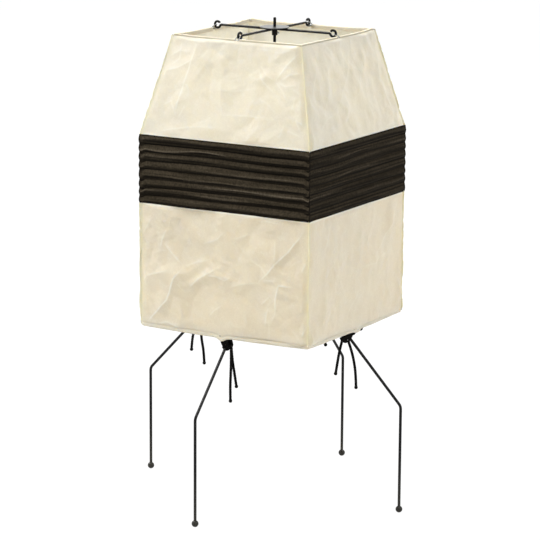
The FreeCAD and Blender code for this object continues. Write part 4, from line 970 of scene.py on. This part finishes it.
def paper_height(kind, side, a, v, half, tall):
    """How far a panel stands out of its flat face, in millimetres, and where its crests are pale, as wear
    and as painted highlight.
    """
    seed = SEEDS[side] + (UPPER_SEED if kind == "upper" else 0)
    facing = side in ("front", "back")
    look = FACING if facing else SIDEWAYS
    rough = look["rough"]
    out = rough * waves(seed, 6, 70, 150)(a, v)
    out = out + LARGE_FACETS * rough * facets(seed + 1, 7, 26, 60)(a, v)
    out = out + SMALL_FACETS * rough * facets(seed + 2, 6, 8, 17)(a, v)
    if not facing:
        out = out + UPRIGHT_FACETS * facets(seed + 4, 6, 14, 40, tilt=0)(a, v)
    wear_and_highlight = 0
    main_creases = CREASES.get(f"{kind}_{side}", ())
    for height, left, right, line in main_creases:
        stands, crest = ridge(a, v, line, RIDGE_HEIGHT * height, RIDGE_WIDTH * left, RIDGE_WIDTH * right)
        out = out + stands
        wear_and_highlight = np.maximum(wear_and_highlight, crest * min(max(height, 0) / look["full_wear_and_highlight"], 1))
    count = FEW_CREASES if main_creases else MANY_CREASES
    for line, height, left, right in small_creases(seed + 3, count, half.max(), tall, SMALL_HEIGHT * rough):
        stands, crest = ridge(a, v, line, height, left, right)
        out = out + stands
        wear_and_highlight = np.maximum(wear_and_highlight, crest * max(height, 0) * look["small_wear_and_highlight"])
    edge = ease((half - np.abs(a)) / SIDE_FADE)
    return out * edge * ease((v + 1) / END_FADE) * ease((tall - v) / END_FADE), wear_and_highlight * edge


print("main creases for", ", ".join(CREASES), "and small ones on every panel")

# %% [markdown]
# No edge of the paper is quite straight. The corner fins are wavy, with nicks, and the top edge
# stands up a little at some corners. The bottom edge hangs in a slow bow, and each tie pulls it
# down and swells it out: for each face, the bow, the pull, and where the pull is and how wide.

# %% Edges of the paper
FIN_WIDTH, FIN_SWING, FIN_NICK, FIN_BEND = 2.4, 0.4, 0.45, 0.8
CORNER_LIFT = (1.2, 0.0, 1.6, 2.2)
LIFT_REACH = 22
BOW = {
    "front": (1.7, 4.2, -2.5, 6), "right": (1.3, 3.0, 5, 10),
    "back": (1, 1.8, 0, 10), "left": (1, 1.8, 0, 10),
}
TIE_SWELL, SWELL_OFF, SWELL_WIDTH = 2.4, 2.0, 9.5


def fin_shape(corner, height):
    """Width of a corner's fin and its lean to one side, at heights in millimetres."""
    swing = waves(300 + corner, 7, 14, 70)
    nick = waves(340 + corner, 5, 6, 16)
    width = FIN_WIDTH + FIN_SWING * swing(height, 0) + FIN_NICK * np.minimum(nick(height, 0), 0)
    return width, FIN_BEND * waves(380 + corner, 6, 25, 90)(height, 0)


def corner_lift(face, a):
    """How far the top edge stands up near the corners of a face."""
    return sum(
        CORNER_LIFT[(face + end) % 4] * np.exp(-((np.maximum(HALF_TOP - way * a, 0) / LIFT_REACH) ** 2))
        for end, way in ((0, -1), (1, 1))
    )


def drop(side, a):
    """How far the bottom edge hangs below its ring: a slow bow, and a pull at the tie."""
    bow, pull, middle, width = BOW[side]
    return bow * (1 - (a / HALF) ** 2) + pull * np.exp(-(((a - middle) / width) ** 2))


def tie_swell(side, a):
    """How far the loops of a tie push the paper out along its bottom edge."""
    return TIE_SWELL * np.exp(-(((a - SWELL_OFF * TIE_WAY[side]) / SWELL_WIDTH) ** 2))


print("fins", [round(float(fin_shape(c, np.array([300.0]))[0][0]), 2) for c in range(4)], "mm wide at 300")

# %% [markdown]
# A sheet is first a grid of faces without thickness, and Solidify then gives it the paper's. The
# inside of a cream sheet takes a paler finish, which is painted light, and which lets more light
# through.

# %% Sheets
SHARP_ANGLE = math.radians(50)


def grid_faces(rows, columns):
    """The faces of a grid of points, by number."""
    number = np.arange(rows * columns).reshape(rows, columns)
    quads = np.stack([number[:-1, :-1], number[:-1, 1:], number[1:, 1:], number[1:, :-1]], axis=-1)
    return quads.reshape(-1, 4)


def sheet_object(name, points, quads, material, even=True, **marks):
    """A sheet of paper from millimetre points: thickness added, marks kept as attributes."""
    mesh = bpy.data.meshes.new(name)
    mesh.from_pydata((points * MM).tolist(), [], quads.tolist())
    for title, values in marks.items():
        data = mesh.attributes.new(title, "FLOAT", "POINT").data
        data.foreach_set("value", values.ravel().astype(np.float32))
    mesh.materials.append(material)
    if material in (cream_paper, top_paper_painted_light):
        mesh.materials.append(inner_paper_painted_light)
    flat = bpy.data.objects.new(name + "_flat", mesh)
    bpy.context.scene.collection.objects.link(flat)
    thick = flat.modifiers.new("paper", "SOLIDIFY")
    thick.thickness = PAPER * MM
    thick.offset = -1
    thick.use_even_offset = even
    thick.material_offset = len(mesh.materials) - 1
    piece = plain_mesh(flat, name)
    piece.data.polygons.foreach_set("use_smooth", np.ones(len(piece.data.polygons), bool))
    piece.data.set_sharp_from_angle(angle=SHARP_ANGLE)
    return piece


print("sheets are", PAPER, "mm thick")

# %% [markdown]
# The rows of a panel run up the sheet and the columns across it; three more columns at each end
# are the fin. Behind the band the fins would cross it, so there they shrink to almost nothing.

# %% Corner fins
FIN_STEPS = (0.35, 0.7, 1.0)
FIN_LEAN = (-0.7, 0.0, 0.0, 0.0)
HIDDEN_FIN = 0.05


def corner_fin(side, way, column, outside):
    """Columns of points of the fin at one end of a panel: way is -1 for its left, 1 for its right."""
    x, y = OUTWARD[side]
    corner = (FACES.index(side) + (1 if way > 0 else 0)) % 4
    width, bend = fin_shape(corner, column[:, 2])
    width = np.where(outside, width, HIDDEN_FIN)
    diagonal = np.array([x - way * y, y + way * x, 0]) / math.sqrt(2)
    aside = np.array([-diagonal[1], diagonal[0], 0])
    columns = []
    for share in FIN_STEPS:
        lean = (bend * share**2 + FIN_LEAN[corner] * width * share) * outside
        columns.append(column + diagonal * (width * share)[:, None] + aside * lean[:, None])
    return np.stack(columns if way > 0 else columns[::-1], axis=1)


print("fins of", len(FIN_STEPS), "columns")

# %% [markdown]
# Both panels use one function, told how a distance up the sheet becomes a place on the face. Next
# to the dark band the paper stands up in a small lip, with a painted highlight along it, and where
# a hem covers the edge it is sunk a little. Under the top hem the sunk strip is painted darker as
# shade.

# %% Cream panels
COLUMNS = 200
ROW_STEP = 1.3
FOLD_IN = 0.64
LOW_END, TOP_END = 2.6, 1.2
RECESS, RECESS_RISE, RECESS_CLEAR = 2.6, 0.05, 0.3
TOP_DIP = 0.7
HEM_DIP, HEM_COVER, HEM_FADE = 1.0, 7.0, 3
SWELL_RISE = 3.6
BAND_HANG, BAND_RISE = 1.8, 0.9
EDGE_LIP, LIP_OFF, LIP_WIDTH, LIP_FADE, LIP_HIGHLIGHT = 0.85, 0.6, 1.1, 4, 0.8
LIFT_FADE, DROP_FADE = 30, 50
SEAM_TINT, SEAM_REACH, FOLD_TINT = 0.35, 5, 0.75
RECESS_SHADE = 0.5


def cream_panel(kind, side):
    """One cream panel of a face, and its height on the flat sheet."""
    upper = kind == "upper"
    tall = SLANT if upper else BAND_LOW - BOTTOM
    slope = LEAN if upper else 0.0
    base = BAND_HIGH if upper else BOTTOM
    first, last = (-LAP, tall - TOP_END) if upper else (LOW_END, tall + LAP)
    v = np.linspace(first, last, int((last - first) / ROW_STEP))[:, None]
    if upper:
        step = tall - RECESS
        v = np.concatenate([v[v[:, 0] < step - RECESS_CLEAR], [[step], [step + RECESS_RISE], [last]]])
    up = np.where(v < 0, v, v * math.cos(slope))
    half = HALF - np.maximum(v, 0) * math.sin(slope)
    a = np.linspace(-1, 1, COLUMNS)[None, :] * (half - FOLD_IN)
    lift, wear_and_highlight = paper_height(kind, side, a, v, half, tall)
    if upper:
        lift = lift - TOP_DIP * (v > tall - RECESS)
    else:
        swell = tie_swell(side, a) * np.exp(-(((v - LOW_END) / SWELL_RISE) ** 2))
        lift = lift + swell - HEM_DIP * ease((HEM_COVER - v) / HEM_FADE)
    band_edge = v if upper else tall - v
    beyond = BAND_RISE if upper else BAND_HANG
    lip = np.exp(-(((band_edge - beyond - LIP_OFF) / LIP_WIDTH) ** 2))
    lip = np.where(band_edge >= 0, lip, 0) * ease((half - np.abs(a)) / LIP_FADE)
    # A painted highlight along the crest of the lip.
    wear_and_highlight = np.maximum(wear_and_highlight, LIP_HIGHLIGHT * lip)
    lift = lift + EDGE_LIP * lip
    out = half + lift * math.cos(slope)
    height = base + up + lift * math.sin(slope)
    if upper:
        height = height + corner_lift(FACES.index(side), a) * ease((v - tall + LIFT_FADE) / LIFT_FADE)
    else:
        height = height - drop(side, a) * np.clip(1 - v / DROP_FADE, 0, 1) ** 2
    grid = on_side(side, a, out, height)
    outside = ((v >= 0) if upper else (v <= tall))[:, 0]
    left = corner_fin(side, -1, grid[:, 0], outside)
    right = corner_fin(side, 1, grid[:, -1], outside)
    whole = np.concatenate([left, grid, right], axis=1)
    fin = np.ones(left.shape[:2])
    seam = SEAM_TINT * np.exp(-(((half - np.abs(a)) / SEAM_REACH) ** 2))
    seam = np.concatenate([fin, seam, fin], axis=1)
    fold = len(FIN_STEPS)
    seam[:, fold - 1 : fold + 1] = FOLD_TINT
    seam[:, -fold - 1 : -fold + 1] = FOLD_TINT
    crest = np.concatenate([0 * fin, wear_and_highlight, 0 * fin], axis=1)
    # Painted shade in the sunk strip under the top hem.
    wire = RECESS_SHADE * (v > tall - RECESS) * upper + 0 * crest
    paper = top_paper_painted_light if upper else cream_paper
    quads = grid_faces(*whole.shape[:2])
    name = f"{kind}_paper_{side}"
    piece = sheet_object(name, whole.reshape(-1, 3), quads, paper, seam=seam, crest=crest, wire=wire)
    return piece, tall


print("panels of", COLUMNS, "columns, with rows", ROW_STEP, "mm apart")


def hang(piece, node):
    """Put a panel on the root body with a mesh of its own, and hide the CAD node it replaces."""
    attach(piece, "root")
    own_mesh(piece)
    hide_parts(node)


for side in FACES:
    piece, tall = cream_panel("lower", side)
    hang(piece, f"lower_panel_{side}")
    print(piece.name, len(piece.data.polygons), "faces")
    piece, tall = cream_panel("upper", side)
    hang(piece, f"upper_panel_{side}")
    print(piece.name, len(piece.data.polygons), "faces")

# %% [markdown]
# ## The pleated band
#
# The band is dark paper in eight soft pleats that run right round the lamp. Each pleat bellies
# out low down and tucks back under itself, so its upper part catches the light and the tuck
# stays black; the tuck is also painted darker as shade. The pleats wander, and pinch flat at the
# corner seams. All four faces read the same wandering lines, measured round the whole shade, so
# the pleats meet at each corner.

# %% Pleat shapes
PLEATS = 8
ROUND = 8 * HALF
WANDER_ALL, WANDER_EACH = 0.9, 0.8
# How far the lines between pleats are shifted at the left front corner, fading out over a face.
LINE_SHIFT = (0, -2.8, -3.8, -4.1, -1.7, -0.2, -0.5, -0.6, 0)
# A pleat's section from its lower line up, as shares of its height and of its depth.
PROFILE = ((0, 0), (0.10, 0.36), (0.25, 0.76), (0.42, 1.0), (0.62, 0.76), (0.83, 0.33), (1, 0))
PROFILE_STEPS = 12


def profile_curve():
    """Places on a smooth line through the pleat's section, as rise and depth shares."""
    t = np.linspace(0, 1, PROFILE_STEPS + 1)[:-1]
    points = np.array(PROFILE)
    place = np.linspace(0, 1, len(points))
    slopes = np.gradient(points, place, axis=0)
    i = np.minimum((t * (len(points) - 1)).astype(int), len(points) - 2)
    step = place[1] - place[0]
    s = ((t - place[i]) / step)[:, None]
    one, two = points[i], points[i + 1]
    return (
        one * (1 + 2 * s) * (1 - s) ** 2 + slopes[i] * step * s * (1 - s) ** 2
        + two * s * s * (3 - 2 * s) + slopes[i + 1] * step * s * s * (s - 1)
    )


def round_wave(seed, count, most):
    """A seeded wave round the shade that meets itself."""
    draw = np.random.default_rng(seed)
    times = draw.integers(2, most, count)
    phase = draw.uniform(0, 2 * np.pi, count)
    weight = 1 / np.sqrt(times)
    weight = weight / np.sqrt((weight**2).sum())
    return lambda p: sum(w * np.cos(2 * np.pi * n * p / ROUND + f) for n, f, w in zip(times, phase, weight))


def pleat_lines(around):
    """Heights of the nine lines between pleats, at places round the shade."""
    pitch = (BAND_HIGH - BAND_LOW) / PLEATS
    from_left_corner = np.minimum(around, ROUND - around)
    slant = np.clip(1 - from_left_corner / (2 * HALF), 0, 1)
    lines = []
    for k in range(PLEATS + 1):
        loose = math.sin(math.pi * k / PLEATS) ** 0.5
        wander = WANDER_ALL * round_wave(600, 4, 5)(around) + WANDER_EACH * round_wave(600 + k, 5, 9)(around)
        lines.append(BAND_LOW + k * pitch + LINE_SHIFT[k] * slant + wander * loose)
    lines[0] = lines[0] - BAND_HANG
    lines[-1] = lines[-1] + BAND_RISE
    return np.array(lines)


print(PLEATS, "pleats of", round((BAND_HIGH - BAND_LOW) / PLEATS, 1), "mm in a band", ROUND, "mm round")

# %% [markdown]
# Each pleat's depth sways, its belly slips up and down, and its light part starts at a height of
# its own. The mesh carries as fold how dark the paper is made: painted shade in each tuck, over
# the right and back faces and at the seams, with fine dye lines on top. It carries as crest a
# painted highlight, a glint, where the pleat turns. Fine streaks along the band come from waves
# that are stretched out across the face.

# %% Pleats of one face
BAND_COLUMNS = 170
PLEAT_DEPTH, DEPTH_SWAY, LEAST_DEPTH, PLEAT_SLIP = 2.4, 0.9, 0.7, 0.16
LIT_FROM, LIT_SWAY = 0.50, 0.08
LIT_SHIFT = (-0.04, 0.06, 0.10, -0.08, -0.10, 0.08, 0.0, 0.06)
TUCK_BEFORE, TUCK_FADE = 0.15, 0.30
TOP_TUCK, TOP_TUCK_FROM, TOP_TUCK_FADE = 0.9, 0.93, 0.07
# Painted shade: how dark the tuck of each pleat is made.
TUCK_SHADE = 0.82
# Painted shade over whole faces that are turned from the light.
SIDE_SHADE = {"front": 0.0, "right": 0.45, "back": 0.2, "left": 0.0}
FOLD_LIGHT = (0.3, 0.5, 0.9, 0.3, 0.7, 0.4, 0.8, 0.3)
GLINT, GLINT_SWAY, GLINT_OFF, GLINT_WIDTH = 0.4, 0.7, 0.04, 0.07
SEAM_FIN, SEAM_SWELL = 1.1, 0.8


def pleat_rows(side, around, straight, bent, pinch):
    """The rows of all pleats: height, depth, darkness as painted shade, glint as painted highlight, and
    (left, right, out) at the seams.
    """
    heights, depths, dark, light, seams = [], [], [], [], []
    section = [*profile_curve(), (1, 0)]
    for k in range(PLEATS):
        depth = PLEAT_DEPTH + DEPTH_SWAY * round_wave(640 + k, 6, 14)(around)
        depth = np.maximum(depth * pinch, LEAST_DEPTH)
        tall = bent[k + 1] - bent[k]
        slip = PLEAT_SLIP * round_wave(680 + k, 6, 12)(around)
        lit_from = LIT_FROM + LIT_SHIFT[k] + LIT_SWAY * round_wave(660 + k, 5, 8)(around)
        glint = FOLD_LIGHT[k] * np.clip(GLINT + GLINT_SWAY * round_wave(700 + k, 5, 9)(around), 0, 1)
        low, high = straight[k, [0, -1]], straight[k + 1, [0, -1]]
        for rise, out in section if k == PLEATS - 1 else section[:-1]:
            heights.append(bent[k] + tall * (rise + slip * out * (1 - rise)))
            depths.append(depth * out)
            # Painted shade: dark in the tuck below where the lit part starts, and just under the next pleat.
            tuck = 1 - ease((rise - lit_from + TUCK_BEFORE) / TUCK_FADE)
            tuck = np.maximum(tuck, TOP_TUCK * ease((rise - TOP_TUCK_FROM) / TOP_TUCK_FADE))
            dark.append(SIDE_SHADE[side] + (TUCK_SHADE - SIDE_SHADE[side]) * tuck)
            # A painted highlight, the glint, just above where the lit part starts.
            light.append(glint * np.exp(-(((rise - lit_from - GLINT_OFF) / GLINT_WIDTH) ** 2)))
            seams.append((*(low + (high - low) * rise), SEAM_FIN + SEAM_SWELL * out))
    return [np.array(rows) for rows in (heights, depths, dark, light, seams)]


print("each pleat has", PROFILE_STEPS, "rows of", BAND_COLUMNS, "points")

# %% [markdown]
# The band of a face joins those rows into one sheet, whose ends meet the next face's in a pinched
# seam. Near the corners the pleats curl down a little.

# %% Pleated band
CORNER_PINCH, PINCH_REACH = 0.3, 7
CURL = {"front": 3.2, "right": 1.0, "back": 2.4, "left": 2.4}
CURL_REACH = 9
FINE_STREAK, LONG_STREAK, STREAK_FROM = 0.18, 0.24, 0.8
TOP_DEPTH = 1.0
BAND_IN, BAND_OUT = 0.4, 0.55
DYE_LINES = 0.26
# Painted shade at the pinched seams where the faces meet.
SEAM_SHADE = 0.95


def band_panel(side):
    """The band of one face, with a pinched seam at each end."""
    face = FACES.index(side)
    share = np.linspace(-1, 1, BAND_COLUMNS)
    across = share * HALF
    around = 2 * HALF * face + HALF * (share + 1)
    from_corner = HALF * (1 - np.abs(share))
    pinch = 1 - CORNER_PINCH + CORNER_PINCH * ease(from_corner / PINCH_REACH)
    straight = pleat_lines(around)
    bent = straight.copy()
    bent[1:-1] -= CURL[side] * (1 - ease(from_corner / CURL_REACH))
    height, depth, dark, light, seams = pleat_rows(side, around, straight, bent, pinch)
    dye_lines = waves(760 + face, 18, 2.0, 6, tilt=90)(across * 0.03, height)
    fine_streak = waves(720 + face, 16, 3.0, 8, tilt=90)(across * 0.02, height)
    long_streak = waves(740 + face, 12, 5, 16, tilt=88)(across * 0.2, height)
    streak = FINE_STREAK * fine_streak + LONG_STREAK * long_streak
    depth = depth + streak * ease(depth / STREAK_FROM) * pinch
    depth[-1] = TOP_DEPTH
    middle = on_side(side, share * (HALF - BAND_IN) + 0 * depth, HALF + BAND_OUT + depth, height)
    low_end, high_end, fin = seams.T
    fin = HALF + BAND_OUT + fin
    left = on_side(side, -fin, fin, low_end)[:, None]
    right = on_side(side, fin, fin, high_end)[:, None]
    points = np.concatenate([left, middle, right], axis=1)
    # Painted shade from tucks, faces and seams, with fine dye lines on top.
    shade_and_dye = np.clip(dark + DYE_LINES * dye_lines, 0, 1)
    fold = np.pad(shade_and_dye, ((0, 0), (1, 1)), constant_values=SEAM_SHADE)
    # The painted highlight is weaker on faces painted in shade.
    crest = np.pad((1 - SIDE_SHADE[side]) * light, ((0, 0), (1, 1)))
    quads = grid_faces(*points.shape[:2])
    name = f"band_paper_{side}"
    return sheet_object(name, points.reshape(-1, 3), quads, dark_paper, False, fold=fold, crest=crest)


for side in FACES:
    piece = band_panel(side)
    hang(piece, f"band_panel_{side}")
    print(piece.name, len(piece.data.polygons), "faces")

# %% [markdown]
# ## The two hems
#
# Paper is folded round each wire ring and glued. The hem stays on its ring when the shade
# crumples, so it is a piece of its own: the upper one rides with the spider. Its section is a
# strip outside, a half turn round the wire and a flap inside, swept round the square. Folded
# paper turns a tighter corner than wire does, so the outside follows a path with tight corners
# and the inside one with round corners. The paper is darkened where it lies tight on the wire and
# the wire shows through, and it is also painted darker as shade under the rolls. The mesh carries
# both in one attribute.

# %% Hem helpers
HEM_ROUND = 1.85
HEM_CORNER, RING_CORNER = 1.2, 6.0
CORNER_STEPS = 7
HEM_TINT = 0.1


def square_path(reach, corner, step):
    """Places round a square with round corners: point, outward direction, face and across."""
    places = []
    straight = reach - corner
    for face, side in enumerate(FACES):
        out = np.array(OUTWARD[side])
        along = np.array((-out[1], out[0]))
        for a in np.linspace(-straight, straight, int(2 * reach / step)):
            places.append((out * reach + along * a, out, face, a))
        for turn in np.radians(90 * np.arange(1, CORNER_STEPS) / CORNER_STEPS):
            round_out = out * math.cos(turn) + along * math.sin(turn)
            places.append(((out + along) * straight + round_out * corner, round_out, face, reach))
    return places


def sweep_hem(name, reach, step, section, skip):
    """Sweep a section round a square. It gives (out, height, darkening from wire showing through and painted
    shade); skip leaves faces out.
    """
    points, quads, wire = [], [], []
    places = square_path(reach, HEM_CORNER, step)
    for (outer, way, face, a), (inner, _, _, _) in zip(places, square_path(reach, RING_CORNER, step)):
        for out, height, shade_and_wire in section(face, a):
            wire.append(shade_and_wire)
            share = min(max(0.5 - 0.5 * out / HEM_ROUND, 0), 1)
            points.append((*(outer * (1 - share) + inner * share + way * out), height))
    count = len(points) // len(places)
    for i, (_, _, _, a) in enumerate(places):
        j = (i + 1) % len(places)
        for k in range(count - 1):
            if not skip(a, k):
                quads.append((i * count + k, i * count + k + 1, j * count + k + 1, j * count + k))
    seam = np.full(len(points), HEM_TINT)
    return sheet_object(name, np.array(points), np.array(quads), cream_paper, seam=seam, wire=np.array(wire))


print("hems are folded", HEM_ROUND, "mm round the middle of the wire")

# %% [markdown]
# The lower hem is dragged down and swollen a little at each tie, and its flap is cut away there to
# let the cord through. Its strip is two lines of points above the wire: for each, the place from
# the wire, its shares of the tie's swell, the wobble and the drop, and how much it is darkened
# where wire shows through and as painted shade. The underside of the roll is darkened the same way.

# %% Bottom hem
HEM_ANGLES = np.radians(np.linspace(0, -180, 11))
HEM_STEP = 2.0
HEM_WOBBLE, SIZE_WOBBLE = 0.15, 0.4
HEM_ROLL = 0.8
HEM_STRIP = ((-0.2, 3.6, 0.3, 0.5, 0.85, 0.25), (0.6, 2.0, 0.9, 1.0, 0.92, 0))
HEM_FLAP = (4, 8)
# How dark the underside of the roll is made: wire showing through, and painted shade.
HEM_SHADE_AND_WIRE, SHADE_SLOPE, SHADE_FROM = 0.7, 2.5, 0.6
TIE_GAP, FLAP_ROW = 11.5, 10
hem_wobble = [waves(800 + face, 6, 18, 60) for face in range(4)]


def bottom_section(face, a):
    hang_down = float(drop(FACES[face], a))
    swell = float(tie_swell(FACES[face], a))
    wobble = HEM_WOBBLE * float(hem_wobble[face](a, 0.0))
    size = HEM_ROUND + SIZE_WOBBLE * wobble
    line = []
    for off, up, swell_share, wobble_share, drop_share, shade_and_wire in HEM_STRIP:
        out = size + off + swell_share * swell + wobble_share * wobble
        line.append((out, RING_HEIGHT + up - drop_share * hang_down, shade_and_wire))
    for angle in HEM_ANGLES:
        out = size * math.cos(angle)
        bulge = (swell + wobble + HEM_ROLL) * max(out / size, 0)
        # Wire showing through and painted shade, strongest on the underside of the roll.
        shade_and_wire = HEM_SHADE_AND_WIRE * float(ease(-math.sin(angle) * SHADE_SLOPE - SHADE_FROM))
        line.append((out + bulge, RING_HEIGHT + size * math.sin(angle) - hang_down, shade_and_wire))
    line += [(-size, RING_HEIGHT + up, 0) for up in HEM_FLAP]
    return line


def at_a_tie(a, row):
    return abs(a) < TIE_GAP and row >= FLAP_ROW


bottom_hem = sweep_hem("bottom_hem", RING_REACH, HEM_STEP, bottom_section, at_a_tie)
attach(bottom_hem, "root")
print("bottom hem", len(bottom_hem.data.polygons), "faces")

# %% [markdown]
# The upper hem follows the slant of the panels on its outside, stands up at the corners as they
# do, and is cut away at the middle of each side, where the clips hold the bare ring. Its outside
# is darkened where the wire shows through and as painted shade.

# %% Top hem
ring_low, ring_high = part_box("top_ring")
TOP_REACH = ring_high[0] / MM - RING_RADIUS
TOP_RING_HEIGHT = (ring_low[2] + ring_high[2]) / 2 / MM
TOP_ANGLES = np.radians(np.linspace(180, math.degrees(LEAN), 10))
TOP_STEP = 1.6
TOP_WOBBLE, OUTER_ANGLE = 0.16, 1.5
# How dark the outside of the roll and the strip below it are made: wire showing through, and painted shade.
TOP_SHADE_AND_WIRE, SHADE_BELOW, SHADE_FADE = 0.9, 1.05, 0.4
TOP_FLAP = (4, 2)
TOP_STRIP, STRIP_WOBBLE = (0.3, 0.7, 1.0), 0.55
NOTCH = 3.2
top_wobble = [waves(840 + face, 6, 18, 60) for face in range(4)]


def top_section(face, a):
    wobble = TOP_WOBBLE * float(top_wobble[face](a, 0.0))
    size = HEM_ROUND + SIZE_WOBBLE * wobble
    middle = TOP_RING_HEIGHT + float(corner_lift(face, a))
    line = [(-size, middle - down, 0) for down in TOP_FLAP]
    for angle in TOP_ANGLES:
        out = size * math.cos(angle) + (wobble if angle < OUTER_ANGLE else 0)
        # Wire showing through and painted shade on the outer part of the roll.
        shade_and_wire = TOP_SHADE_AND_WIRE * float(ease((SHADE_BELOW - angle) / SHADE_FADE))
        line.append((out, middle + size * math.sin(angle), shade_and_wire))
    for down in TOP_STRIP:
        out = size * math.cos(LEAN) + down * math.sin(LEAN) + STRIP_WOBBLE * wobble
        line.append((out, middle + size * math.sin(LEAN) - down * math.cos(LEAN), TOP_SHADE_AND_WIRE))
    return line


def at_a_clip(a, row):
    return abs(a) < NOTCH


top_hem = sweep_hem("top_hem", TOP_REACH, TOP_STEP, top_section, at_a_clip)
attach(top_hem, "stretcher")
print("top hem", len(top_hem.data.polygons), "faces")

# %% [markdown]
# ## Metal, plastic, glass and ceramic
#
# The wires are painted black with a low gloss, and turn grey near the floor, which is painted
# light. The rings and clips are bare steel, and so is the top of the disc, finely rubbed; the
# disc's rim and underside are black, which is painted shade. The holder and bulb inside are
# hidden from the camera but seen from below and above, so they get honest finishes too. Each
# finish uses the shared rubbing group with its own scale.


# %% Hard finishes
RIPPLE_STRENGTH = 0.3
RIPPLE_HEIGHT, SMOOTH_RIPPLE, GLASS_RIPPLE = 0.00004, 0.000002, 0.00001


def hard_finish(name, dark, light, rough, metallic=0.0, scale=300.0, ripple=RIPPLE_HEIGHT, **constants):
    """A rubbed surface from dark to light; rough is its range of roughness."""
    material, tree = blank_material(name)
    rub = use_group(tree, fine_rubbing, Scale=scale)
    surface = add(
        tree, "ShaderNodeBsdfPrincipled", Base_Color=blend(tree, rub["Rub"], dark, light), Metallic=metallic,
        Roughness=span(tree, rub["Rub"], *rough),
        Normal=bump(tree, rub["Ripple"], RIPPLE_STRENGTH, ripple), **constants,
    )
    finish_material(tree, surface.outputs[0])
    return material


def height_in_frame(tree):
    place = add(tree, "ShaderNodeTexCoord").outputs["Object"]
    return add(tree, "ShaderNodeSeparateXYZ", (), place).outputs["Z"]


print("hard finishes ready")

# %% [markdown]
# Two finishes change with height, which is simply Z in the lamp's frame: the disc is bright only on
# top, with its rim and underside black as painted shade, and the wires turn grey only near the
# floor, which is painted light.

# %% Disc and wire
# Black for the rim and underside of the disc: painted shade.
PAINTED_SHADE_BLACK = (0.006, 0.006, 0.006)
DISC_DARK, DISC_LIGHT, DISC_ROUGH = (0.12, 0.12, 0.115), (0.20, 0.20, 0.19), (0.24, 0.42)
RIM_LOW, RIM_HIGH = 0.0005, 0.0002
WIRE_DARK, WIRE_LIGHT, WIRE_ROUGH = (0.005, 0.005, 0.005), (0.008, 0.0075, 0.007), (0.19, 0.23)
# Painted light: wires and feet turn this grey near the floor.
PAINTED_LIGHT_GREY = (0.040, 0.038, 0.031)
PAINTED_LIGHT_NONE, PAINTED_LIGHT_FULL = 0.095, 0.004
disc_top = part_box("spider_disc")[1][2]


def disc_finish():
    """Rubbed bright steel on top; the rim and the underside are black, which is painted shade."""
    material, tree = blank_material("disc_steel")
    rub = use_group(tree, fine_rubbing, Scale=500.0)
    bright = smooth_step(tree, height_in_frame(tree), disc_top - RIM_LOW, disc_top - RIM_HIGH)
    steel = blend(tree, rub["Rub"], DISC_DARK, DISC_LIGHT)
    surface = add(
        tree, "ShaderNodeBsdfPrincipled", Base_Color=blend(tree, bright, PAINTED_SHADE_BLACK, steel),
        Metallic=bright, Roughness=span(tree, rub["Rub"], *DISC_ROUGH),
        Normal=bump(tree, rub["Ripple"], RIPPLE_STRENGTH, RIPPLE_HEIGHT),
    )
    finish_material(tree, surface.outputs[0])
    return material


def wire_finish():
    """Smooth black paint, turning grey on the feet and on the last stretch above them, which is painted
    light.
    """
    material, tree = blank_material("black_wire_paint")
    rub = use_group(tree, fine_rubbing, Scale=40.0)
    painted_light_share = smooth_step(tree, height_in_frame(tree), PAINTED_LIGHT_NONE, PAINTED_LIGHT_FULL)
    paint = blend(tree, rub["Rub"], WIRE_DARK, WIRE_LIGHT)
    surface = add(
        tree, "ShaderNodeBsdfPrincipled", Base_Color=blend(tree, painted_light_share, paint, PAINTED_LIGHT_GREY),
        Roughness=span(tree, rub["Rub"], *WIRE_ROUGH), Specular_IOR_Level=0.15,
        Normal=bump(tree, rub["Ripple"], RIPPLE_STRENGTH, SMOOTH_RIPPLE),
    )
    finish_material(tree, surface.outputs[0])
    return material


print("disc bright above", round(disc_top - RIM_LOW, 4), "m, wires grey below", PAINTED_LIGHT_NONE, "m")

# %% [markdown]
# Each CAD node keeps its shape and takes the finish of its material slot in the record.

# %% Finishes on the CAD nodes
FINISHES = {
    "black_wire": wire_finish(),
    "disc_steel": disc_finish(),
    "ring_wire": hard_finish(
        "galvanised_wire", (0.30, 0.30, 0.29), (0.44, 0.44, 0.42), (0.34, 0.52), metallic=1.0, scale=420.0,
    ),
    "plain_steel": hard_finish(
        "zinc_steel", (0.50, 0.50, 0.49), (0.64, 0.64, 0.62), (0.26, 0.44), metallic=1.0,
    ),
    "brass": hard_finish(
        "brass", (0.62, 0.43, 0.16), (0.80, 0.60, 0.28), (0.22, 0.42), metallic=1.0,
    ),
    "cap_metal": hard_finish(
        "cap_aluminium", (0.62, 0.62, 0.61), (0.78, 0.78, 0.77), (0.24, 0.40), metallic=1.0,
    ),
    "black_plastic": hard_finish(
        "moulded_plastic", (0.012, 0.012, 0.012), (0.024, 0.024, 0.024), (0.40, 0.58), scale=160.0,
    ),
    "white_ceramic": hard_finish(
        "glazed_ceramic", (0.74, 0.72, 0.66), (0.84, 0.82, 0.77), (0.12, 0.24), scale=90.0, Coat_Weight=0.4,
    ),
    "opal_glass": hard_finish(
        "opal_glass", (0.82, 0.82, 0.79), (0.90, 0.90, 0.87), (0.06, 0.14), scale=60.0,
        ripple=GLASS_RIPPLE, Coat_Weight=0.5,
    ),
    "insulator_glass": hard_finish(
        "insulator_glass", (0.012, 0.011, 0.014), (0.03, 0.028, 0.032), (0.08, 0.16),
    ),
}
slot_of = {part["node"]: part["material_slot"] for part in frame["record"]["subparts"]}
finished = 0
for node, obj in frame["nodes"].items():
    if slot_of[node] in FINISHES:
        obj.data.materials.clear()
        obj.data.materials.append(FINISHES[slot_of[node]])
        finished += 1
print(finished, "CAD nodes finished")
